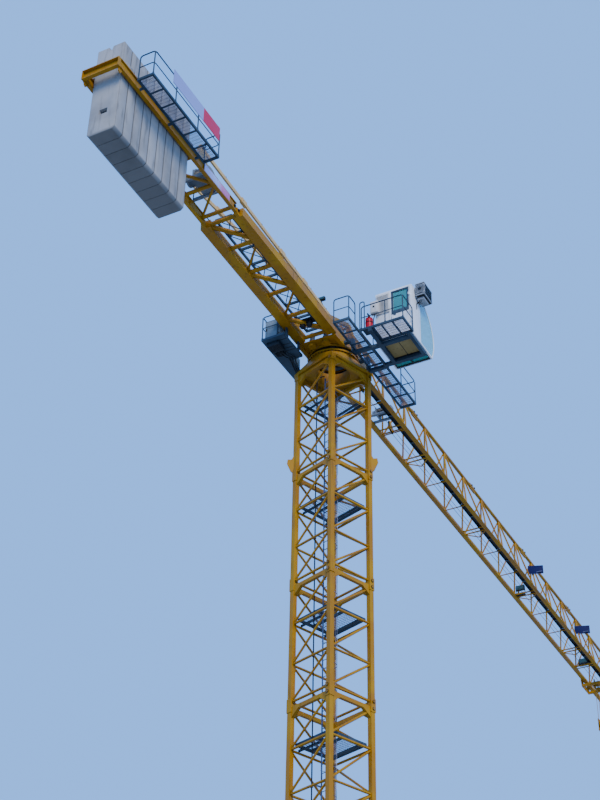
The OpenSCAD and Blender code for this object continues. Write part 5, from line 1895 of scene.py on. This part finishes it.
def outline_of(node: str, axis: int, place: float) -> list[Vector]:
    """Finds the outline of a CAD node's flat side.

    Args:
        node: the CAD node's name.
        axis: 0, 1 or 2 for the way that the side faces.
        place: where it lies on that axis.

    Returns:
        The outline's corners in order, or nothing where no such side exists.
    """
    bm = copy_node(node)
    corners: list[Vector] = []
    for face in bm.faces:
        if all(abs(vert.co[axis] - place) < 0.2 * MM for vert in face.verts):
            if len(face.verts) > len(corners):
                corners = [vert.co.copy() for vert in face.verts]
    bm.free()
    return corners


@dataclass
class CabFittings:
    """What dresses the cab: seals, wiper, door rim, louvres, handles, controls, roof rails.

    Args:
        rear: the cab's rear face.
        right: its right face.
        left: its left face.
        window_front: the centre and radius of the curved window, as X, Z and R.
        window_angles: where the curved window starts and ends, in degrees above level.
        door: the door leaf's edges across the cab.
        door_top: the leaf's top.
        glass_low: the lower edge of the door's window.
        grip_z: the heights of its pull handle's ends.
        louvre_y: the louvred panel's edges across the cab.
        louvre_z: its lower and upper edges.
        slats: how many slats it has.
        seal: how wide the seals are.
    """

    rear: float = -0.320
    right: float = -1.670
    left: float = -0.985
    window_front: Point = (-0.086, 17.674, 0.691)
    window_angles: PlanPoint = (-31.0, 59.0)
    door: PlanPoint = (-1.624, -1.286)
    door_top: float = 18.340
    glass_low: float = 17.896
    grip_z: PlanPoint = (17.59, 17.71)
    louvre_y: PlanPoint = (-1.253, -1.005)
    louvre_z: PlanPoint = (17.900, 18.330)
    slats: int = 17
    seal: float = 15 * MM

    def build(self) -> None:
        """Builds every fitting."""
        soften_node("cab_shell", 3 * MM)
        self.build_seals()
        self.build_wiper()
        self.build_door()
        self.build_louvres()
        self.build_controls()
        self.build_roof_rail()

    def arc_point(self, angle: float, y: float, lift: float = 0.0) -> Vector:
        """Returns a point over the curved window.

        Args:
            angle: its angle above level, in degrees.
            y: its place across the cab.
            lift: how far it lies off the glass.

        Returns:
            The point.
        """
        x, z, r = self.window_front
        a = radians(angle)
        return Vector((x + (r + lift) * cos(a), y, z + (r + lift) * sin(a)))

    def build_seals(self) -> None:
        """Builds the black seals round the side windows and along the curved one."""
        bm = bmesh.new()
        for y, way in ((-1.664, -1), (-0.991, 1)):
            corners = outline_of("cab_glass", 1, y)
            face = self.right if way < 0 else self.left
            outline = [(corner.x, face + way * SEAT, corner.z) for corner in corners]
            if len(outline) > 3:
                add_ring_frame(bm, outline, (0, way, 0), 5 * MM, self.seal)
        low, high = self.window_angles
        steps = 16
        angles = [low + (high - low) * i / steps for i in range(steps + 1)]
        for y in (self.right + 0.026, self.left - 0.026):
            add_swept_tube(bm, [self.arc_point(a, y, -1 * MM) for a in angles], self.seal, 8)
        for angle in (low, high):
            ends = (self.arc_point(angle, self.right + 0.02), self.arc_point(angle, self.left - 0.02))
            add_tube(bm, *ends, self.seal * 1.2, 8)
        finish_piece("window_seals", bm, RUBBER)

    def build_wiper(self) -> None:
        """Builds the wiper on the curved window."""
        bm = bmesh.new()
        y = (self.right + self.left) / 2
        hub = self.arc_point(-24, y, 1 * MM)
        out = self.arc_point(-24, y, 0.018)
        add_tube(bm, hub, out, 0.030, 14)
        arm = [out] + [self.arc_point(a, y + 0.002 * i, 0.013) for i, a in enumerate(range(-16, 9, 6))]
        add_swept_tube(bm, arm, 7 * MM, 6)
        blade = [self.arc_point(a, y + 0.012, 0.006) for a in range(-14, 33, 4)]
        add_swept_tube(bm, blade, 8 * MM, 6)
        finish_piece("window_wiper", bm, RUBBER)

    def build_door(self) -> None:
        """Builds the door's dark rim, its lock case and its pull handle."""
        bm = bmesh.new()
        y0, y1 = self.door[0] + 8 * MM, self.door[1]
        face = self.rear - 2 * MM - SEAT
        front = face - 4 * MM
        low = self.glass_low - 0.072
        bars = (
            ((y0, low), (y1, self.glass_low + 0.006)),
            ((y0, self.door_top - 0.038), (y1, self.door_top)),
            ((y0, self.glass_low), (y0 + 0.036, self.door_top - 0.03)),
            ((y1 - 0.036, self.glass_low), (y1, self.door_top - 0.03)),
            ((y1 - 0.085, low - 0.030), (y1 - 0.010, low + 0.002)),
        )
        for (a, b), (c, d) in bars:
            add_box(bm, (front, a, b), (face, c, d), 1.5 * MM)
        y, out, (z0, z1) = y1 - 0.052, face - 0.030, self.grip_z
        grip = [(face + 0.002, y, z1), (out, y, z1), (out, y, z0), (face + 0.002, y, z0)]
        add_swept_tube(bm, round_corners(grip, 0.018), 10 * MM)
        finish_piece("door_rim", bm, PLATFORM_ENAMEL, Body.CAB_DOOR)

    def build_louvres(self) -> None:
        """Builds the louvre slats and frame on the tall cabinet behind the cab."""
        bm = bmesh.new()
        face = self.rear - 24 * MM - SEAT
        (y0, y1), (z0, z1) = self.louvre_y, self.louvre_z
        outline = [(face, y0, z0), (face, y1, z0), (face, y1, z1), (face, y0, z1)]
        add_ring_frame(bm, outline, (-1, 0, 0), 4 * MM, 14 * MM)
        for i in range(self.slats):
            z = z0 + 0.026 + (z1 - z0 - 0.062) * i / (self.slats - 1)
            y, out = y0 + 0.018, face - 9 * MM
            slat = [(face, y, z), (out, y, z - 8 * MM), (out, y, z - 6 * MM), (face, y, z + 8 * MM)]
            add_plate(bm, slat, (0, y1 - y0 - 0.036, 0))
        finish_piece("cabinet_louvres", bm, CABINET_ENAMEL)

    def build_controls(self) -> None:
        """Builds the control stands with their levers, seen through the glass."""
        bm, knobs = bmesh.new(), bmesh.new()
        lever = (
            (0, 0), (0.024, 0), (0.010, 0.022), (0.007, 0.06), (0.013, 0.075),
            (0.015, 0.10), (0.009, 0.118), (0, 0.120),
        )
        floor = CRANE.floor_z + 0.036 + SEAT
        for y in (-1.50, -1.155):
            add_box(bm, (-0.06, y - 0.05, floor), (0.20, y + 0.05, floor + 0.28), 10 * MM)
            add_box(bm, (-0.10, y - 0.055, floor + 0.282), (0.24, y + 0.055, floor + 0.33), 12 * MM)
            add_lathed(knobs, lever, (0.16, y, floor + 0.325), (0, 0, 1), 16)
        finish_piece("control_stands", bm, COOLER_ENAMEL)
        finish_piece("control_levers", knobs, RUBBER)

    def build_roof_rail(self) -> None:
        """Builds the low lifting rail on the cab's roof."""
        bm = bmesh.new()
        z = CRANE.floor_z + 1.080
        for y in (self.right + 0.09, self.left - 0.09):
            back = [(-0.20, y, z - 0.004), (-0.20, y, z + 0.055)]
            front = [(0.12, y, z + 0.046), (0.12, y, z - 0.010)]
            add_swept_tube(bm, round_corners(back + front, 0.03), 12 * MM)
        finish_piece("roof_rails", bm, CAB_ENAMEL)


@dataclass
class Cooler:
    """The cooling unit's dark grille, drip tray, bands and pipes.

    Args:
        low: the casing's lowest corner.
        high: its highest corner.
        fan_y: the fan's place across the cab.
        fan_z: its height.
    """

    low: Point = (-0.200, -1.860, 18.187)
    high: Point = (0.130, -1.690, 18.457)
    fan_y: float = -1.7753
    fan_z: float = 18.322

    def build(self) -> None:
        """Builds the cooler's fittings."""
        soften_node("air_conditioner", 3 * MM)
        bm = bmesh.new()
        (x0, y0, z0), (x1, y1, z1) = self.low, self.high
        x, y, z = x0 - 6 * MM - SEAT, self.fan_y, self.fan_z
        for radius in (0.030, 0.052, 0.074, 0.096):
            angles = [pi * i / 12 for i in range(25)]
            ring = [
                Vector((x - 4 * MM, y + radius * cos(a), z + radius * sin(a))) for a in angles
            ]
            add_swept_tube(bm, ring, 4 * MM, 5)
        middle = Vector((x - 3 * MM, y, z))
        for i in range(8):
            a = pi * i / 8
            reach = Vector((0, 0.098 * cos(a), 0.098 * sin(a)))
            add_tube(bm, middle - reach, middle + reach, 3.5 * MM, 5)
        hub = ((0, 0), (0.034, 0), (0.034, 0.004), (0.020, 0.010), (0, 0.011))
        add_lathed(bm, hub, (x, y, z), (-1, 0, 0), 20)
        for i in range(12):
            z = z0 + 0.035 + 0.017 * i
            add_box(bm, (x0 + 0.03, y0 - 5 * MM, z), (x1 - 0.03, y0, z + 6 * MM))
        rim = 2 * MM
        for z in (z0 + 0.02, z1 - 0.035):
            add_box(bm, (x0 - rim, y0 - rim, z), (x1 + rim, y1 + rim, z + 0.014), 1 * MM)
        tray = (x0 + 0.012, y0 + 0.012, z0 - 0.010)
        add_box(bm, tray, (x1 - 0.012, y1 - 0.012, z0 + 0.002), 3 * MM)
        finish_piece("cooler_grille", bm, BLACK_ENAMEL)
        pipes = bmesh.new()
        x, wall = -0.13, -1.6765
        for i, y in enumerate((-1.735, -1.765)):
            low, end = 18.085 - 0.02 * i, 17.98 - 0.03 * i
            line = [
                (x, y, 18.16), (x, y, low), (x, wall, low), (x, wall, end), (x + 0.02 * i, -1.660, end)
            ]
            add_swept_tube(pipes, round_corners(line, 0.022), 13 * MM)
        finish_piece("cooler_pipes", pipes, RUBBER)


@dataclass
class PlatformFittings:
    """The cabinets' doors and handles, the gear under the left platform, the extinguisher's hose.

    Args:
        cabinets: each cabinet's rear face: X, low Y, high Y, low Z, high Z.
        cab_cabinet: the same of the small cabinet behind the cab.
        extinguisher: the middle of the extinguisher's foot.
        cases: each case under the left platform: its corners in plan, its depth and its bevel.
        ribs: how many ribs a case has.
    """

    cabinets: tuple[tuple[float, float, float, float, float], ...] = (
        (-1.210, 0.410, 0.690, 17.3443, 17.714),
        (-0.500, 0.570, 0.700, 17.3443, 17.604),
    )
    cab_cabinet: tuple[float, float, float, float, float] = (-0.430, -1.075, -0.930, 17.900, 18.150)
    extinguisher: Point = (-0.656, -1.018, 17.3143)
    cases: tuple[tuple[PlanPoint, PlanPoint, float, float], ...] = (
        ((-1.17, 0.44), (-0.97, 0.68), 0.10, 6 * MM),
        ((-0.93, 0.50), (-0.80, 0.66), 0.075, 5 * MM),
    )
    ribs: int = 7

    def build(self) -> None:
        """Builds every fitting."""
        soften_node("switch_cabinets", 3 * MM)
        self.build_doors()
        self.build_extinguisher()
        self.build_gear()

    def build_doors(self) -> None:
        """Builds the cabinets' door leaves, hinges, handles and feed cables."""
        leaves, black = bmesh.new(), bmesh.new()
        for x, y0, y1, z0, z1 in self.cabinets:
            face, mid = x - SEAT, (z0 + z1) / 2
            front = face - 6 * MM
            add_box(leaves, (front, y0 + 0.012, z0 + 0.02), (face, y1 - 0.012, z1 - 0.014), 2 * MM)
            lid = (x - 0.004, y0 - 0.006, z1 + SEAT)
            add_box(leaves, lid, (x + 0.17, y1 + 0.006, z1 + 0.010), 3 * MM)
            for z in (z0 + 0.06, mid, z1 - 0.06):
                low, high = ((face - 8 * MM, y0 + 0.01, z + way) for way in (-0.016, 0.016))
                add_tube(black, low, high, 9 * MM)
            handle = (face - 16 * MM, y1 - 0.036, mid - 0.028)
            add_box(black, handle, (front, y1 - 0.024, mid + 0.028), 3 * MM)
            y, low = y0 + 0.05, z0 - 0.012
            drop = [(x + 0.05, y, z0 + 0.004), (x + 0.05, y, low), (x + 0.20, y0 - 0.02, low)]
            add_swept_tube(black, round_corners(drop, 0.012), 14 * MM)
        x, y0, y1, z0, z1 = self.cab_cabinet
        add_box(leaves, (x - 5 * MM, y0 + 0.01, z0 + 0.01), (x - SEAT, y1 - 0.01, z1 - 0.01), 2 * MM)
        knob = ((0, 0), (0.018, 0), (0.016, 0.012), (0, 0.014))
        add_lathed(black, knob, (x - 5 * MM, -1.000, 18.03), (-1, 0, 0), 14)
        hose = [
            (x + 0.04, -1.00, z0 + 0.004), (x + 0.04, -1.00, 17.86), (x + 0.04, -0.975, 17.80),
            (x + 0.04, -0.962, 17.36), (x + 0.10, -0.930, 17.320), (-0.20, -0.900, 17.320),
        ]
        add_swept_tube(black, round_corners(hose, 0.03), 16 * MM)
        finish_piece("cabinet_doors", leaves, CABINET_ENAMEL)
        finish_piece("cabinet_hardware", black, RUBBER)

    def build_extinguisher(self) -> None:
        """Builds the extinguisher's valve, levers, hose and band."""
        bm = bmesh.new()
        x, y, z = self.extinguisher
        top = z + 0.318
        add_box(bm, (x - 0.020, y - 0.016, top - 0.02), (x + 0.020, y + 0.016, top + 0.012), 4 * MM)
        for lift in (0.016, 0.036):
            low = (x - 0.070, y - 0.009, top + lift - 0.014)
            add_box(bm, low, (x + 0.02, y + 0.009, top + lift - 0.008), 1.5 * MM)
        hose = [
            (x + 0.015, y, top), (x + 0.050, y, top + 0.006), (x + 0.082, y, top - 0.05),
            (x + 0.079, y, z + 0.12), (x + 0.076, y, z + 0.06),
        ]
        add_swept_tube(bm, round_corners(hose, 0.03), 13 * MM, 8)
        add_tube(bm, (x + 0.076, y, z + 0.065), (x + 0.076, y, z + 0.02), 16 * MM, 12, 24 * MM)
        band = [(0.0662, 0), (0.068, 0.002), (0.068, 0.018), (0.0662, 0.020), (0.0655, 0.010)]
        add_lathed(bm, band + band[:1], (x, y, z + 0.16), (0, 0, 1), 28)
        finish_piece("extinguisher_valve", bm, RUBBER)

    def build_gear(self) -> None:
        """Builds the resistor boxes and hoses that hang under the left platform."""
        bm = bmesh.new()
        top = CRANE.floor_z - SEAT
        for (x0, y0), (x1, y1), depth, bevel in self.cases:
            low = top - depth
            add_box(bm, (x0, y0, low), (x1, y1, top - 0.004), bevel)
            for k in range(self.ribs):
                y = y0 + 0.02 + k * (y1 - y0 - 0.045) / (self.ribs - 1)
                add_box(bm, (x0 + 0.01, y, low - 0.008), (x1 - 0.01, y + 0.006, low + 0.002))
            for x in (x0 + 0.02, x1 - 0.035):
                add_box(bm, (x, 0.312, top - 0.006), (x + 0.015, 0.735, top), 1 * MM)
        for k in range(3):
            y = 0.47 + 0.05 * k
            line = [
                (-0.99, y, top - 0.05), (-0.90 + 0.02 * k, y - 0.02, top - 0.085),
                (-0.76, y - 0.04, top - 0.05 - 0.01 * k), (-0.64, y - 0.05, top - 0.020),
                (-0.20, 0.56 + 0.03 * k, top - 0.014),
            ]
            add_swept_tube(bm, round_corners(line, 0.05), 18 * MM, 8)
        finish_piece("left_platform_gear", bm, BLACK_ENAMEL)


@dataclass
class TrolleyFittings:
    """The trolley's sheaves, wheel caps, cheek bolts and the forks on its rope.

    Args:
        x: the trolley's place along the jib at rest.
        sheave_x: from its middle to a sheave's middle.
        sheave_r: a sheave's radius.
        sheave_z: the height of their axes.
        lanes: where the sheaves run across the jib.
        wheel_x: from the middle to a wheel's axle.
        wheel_z: the height of the wheels' axles.
        cheek_y: the outer face of the cheeks.
        hook_z: the height of the hook block's axle.
        hook_y: from the middle to the outer face of its cheeks.
    """

    x: float = 14.0
    sheave_x: float = 0.141
    sheave_r: float = 0.046
    sheave_z: float = 17.446
    lanes: tuple[float, ...] = (-0.040, 0.040)
    wheel_x: float = 0.215
    wheel_z: float = 17.580
    cheek_y: float = 0.3203
    hook_z: float = 16.480
    hook_y: float = 0.0722

    def build(self) -> None:
        """Builds the trolley's fittings."""
        bm, caps = bmesh.new(), bmesh.new()
        for lane in self.lanes:
            for side in (-1, 1):
                centre = (self.x + side * self.sheave_x, lane, self.sheave_z)
                add_sheave(bm, centre, self.sheave_r, 18 * MM)
        for side in (-1, 1):
            x = self.x + side * self.sheave_x
            add_tube(bm, (x, -0.0597, self.sheave_z), (x, 0.0597, self.sheave_z), 16 * MM, 12)
        finish_piece("trolley_sheaves", bm, WHEEL_STEEL, Body.TROLLEY)
        hub = ((0, 0), (0.024, 0), (0.024, 0.007), (0.017, 0.011), (0, 0.013))
        for end in (-1, 1):
            for side in (-1, 1):
                x, y = self.x + end * self.wheel_x, side * self.cheek_y
                add_lathed(caps, hub, (x, y, self.wheel_z), (0, side, 0), 16)
                for dx in (-0.035, 0.035):
                    add_bolt(caps, (x + dx, y, self.wheel_z - 0.05), (0, side, 0), 10 * MM)
        finish_piece("trolley_caps", caps, GREASED_STEEL, Body.TROLLEY)
        self.build_forks()
        self.build_hook()

    def build_forks(self) -> None:
        """Builds the forks that hold the trolley's rope at both ends."""
        bm = bmesh.new()
        rope_y = Ropes().trolley_y
        for end in (-1, 1):
            x = self.x + end * 0.22
            for side in (-1, 1):
                near, far = sorted((rope_y + side * 6 * MM, rope_y + side * 12 * MM))
                add_box(bm, (x - 0.018, near, 17.4403), (x + 0.018, far, 17.515), 1 * MM)
        finish_piece("rope_forks", bm, CRANE_ENAMEL, Body.TROLLEY)

    def build_hook(self) -> None:
        """Builds the hook block's axle caps, cheek bolts and safety catch."""
        bm = bmesh.new()
        cap = ((0, 0), (0.030, 0), (0.030, 0.008), (0.020, 0.014), (0, 0.015))
        for side in (-1, 1):
            y = side * self.hook_y
            add_lathed(bm, cap, (self.x, y, self.hook_z), (0, side, 0), 20)
            for dx in (-0.042, 0.042):
                for dz in (-0.165, 0.085):
                    add_bolt(bm, (self.x + dx, y, self.hook_z + dz), (0, side, 0), 12 * MM)
        nut = ((0, 0), (0.032, 0), (0.034, 0.006), (0.034, 0.030), (0.030, 0.036), (0, 0.036))
        add_lathed(bm, nut, (self.x, 0, self.hook_z - 0.228), (0, 0, 1), 20)
        hinge, tip = (self.x - 0.030, 0, self.hook_z - 0.262), (self.x + 0.052, 0, self.hook_z - 0.330)
        add_tube(bm, hinge, tip, 9 * MM, 8, 7 * MM)
        finish_piece("hook_hardware", bm, GREASED_STEEL, Body.TROLLEY)


@dataclass
class Studio:
    """The camera, the light and the floor.

    Args:
        eye: where the camera stands.
        heading: the view's turn from +X towards +Y, in degrees.
        pitch: how far the view looks up, in degrees.
        roll: the camera's roll, in degrees.
        focal_px: the focal length in pixels of an image 800 pixels high.
        centre_px: the pixel that the optical axis meets.
        image: the image's width and height in pixels.
        sky: the colour of the surround.
        sky_strength: the strength of the light it gives.
        sun: the strength of the soft key light.
        sun_colour: its colour.
        sun_from: the way it comes from.
        sun_spread: how wide it looks, in degrees.
        clip_end: how far the camera sees.
        floor_half: half the floor's width.
    """

    eye: Point = (-19.11, -9.73, 0.80)
    heading: float = 28.24
    pitch: float = 37.026
    roll: float = 1.084
    focal_px: float = 1552.54
    centre_px: PlanPoint = (305.77, 384.11)
    image: tuple[int, int] = (600, 800)
    sky: str = "#74AEFF"
    sky_strength: float = 1.6
    sun: float = 3.0
    sun_colour: str = "#FFF2E0"
    sun_from: Point = (-0.62, -0.58, 0.50)
    sun_spread: float = 28.0
    clip_end: float = 400.0
    floor_half: float = 90.0

    def place_camera(self) -> None:
        """Makes the camera that has the reference picture's viewing angle."""
        heading, pitch, roll = (radians(a) for a in (self.heading, self.pitch, self.roll))
        flat = cos(pitch)
        ahead = Vector((flat * cos(heading), flat * sin(heading), sin(pitch)))
        level = Vector((sin(heading), -cos(heading), 0))
        above = level.cross(ahead)
        right = level * cos(roll) + above * sin(roll)
        up = above * cos(roll) - level * sin(roll)
        data = bpy.data.cameras.new("camera")
        width, height = self.image
        data.sensor_width = 36
        data.lens = self.focal_px / height * data.sensor_width
        data.shift_x = (width / 2 - self.centre_px[0]) / height
        data.shift_y = (self.centre_px[1] - height / 2) / height
        data.clip_end = self.clip_end
        camera = bpy.data.objects.new("camera", data)
        turn = Matrix((right, up, -ahead)).transposed().to_4x4()
        camera.matrix_world = Matrix.Translation(self.eye) @ turn
        bpy.context.scene.collection.objects.link(camera)
        bpy.context.scene.camera = camera

    def light(self) -> None:
        """Adds a pale surround and one broad soft light."""
        world = bpy.data.worlds.new("studio")
        world.use_nodes = True
        surround = world.node_tree.nodes["Background"]
        surround.inputs["Color"].default_value = to_linear(self.sky)
        surround.inputs["Strength"].default_value = self.sky_strength
        bpy.context.scene.world = world
        data = bpy.data.lights.new("soft_key", "SUN")
        data.energy = self.sun
        data.color = to_linear(self.sun_colour)[:3]
        data.angle = radians(self.sun_spread)
        key = bpy.data.objects.new("soft_key", data)
        key.rotation_euler = Vector(self.sun_from).to_track_quat("Z", "Y").to_euler()
        bpy.context.scene.collection.objects.link(key)

    def lay_floor(self) -> None:
        """Lays the pale floor under the mast's foot."""
        bm = bmesh.new()
        bmesh.ops.create_grid(bm, x_segments=8, y_segments=8, size=self.floor_half)
        mesh = bpy.data.meshes.new("studio_floor")
        bm.to_mesh(mesh)
        bm.free()
        mesh.materials.append(STUDIO_FLOOR.material())
        floor = bpy.data.objects.new("studio_floor", mesh)
        bpy.context.scene.collection.objects.link(floor)


def main() -> None:
    """Builds the studio and dresses the crane, sub-assembly by sub-assembly."""
    logging.basicConfig(level=logging.INFO, format="%(message)s")
    studio = Studio()
    studio.place_camera()
    studio.light()
    studio.lay_floor()
    dress_cad_nodes()
    assemblies = (
        MastRests(),
        MastPins(),
        SlewingRing(),
        UpperGratings(),
        GuardRails(),
        Counterweight(),
        HoistWinch(),
        HoistWinch(
            x=2.050, z=17.7363, drum_r=0.075, low_y=-0.088, high_y=0.088, motor_r=0.050,
            motor_y=(0.112, 0.195), name="trolley_winch",
        ),
        Ropes(),
        CounterJibFittings(),
        HeadFittings(),
        JibFittings(),
        CabFittings(),
        Cooler(),
        PlatformFittings(),
        TrolleyFittings(),
    )
    for assembly in assemblies:
        log.info("Building %s", type(assembly).__name__)
        assembly.build()


if __name__ == "__main__":
    main()
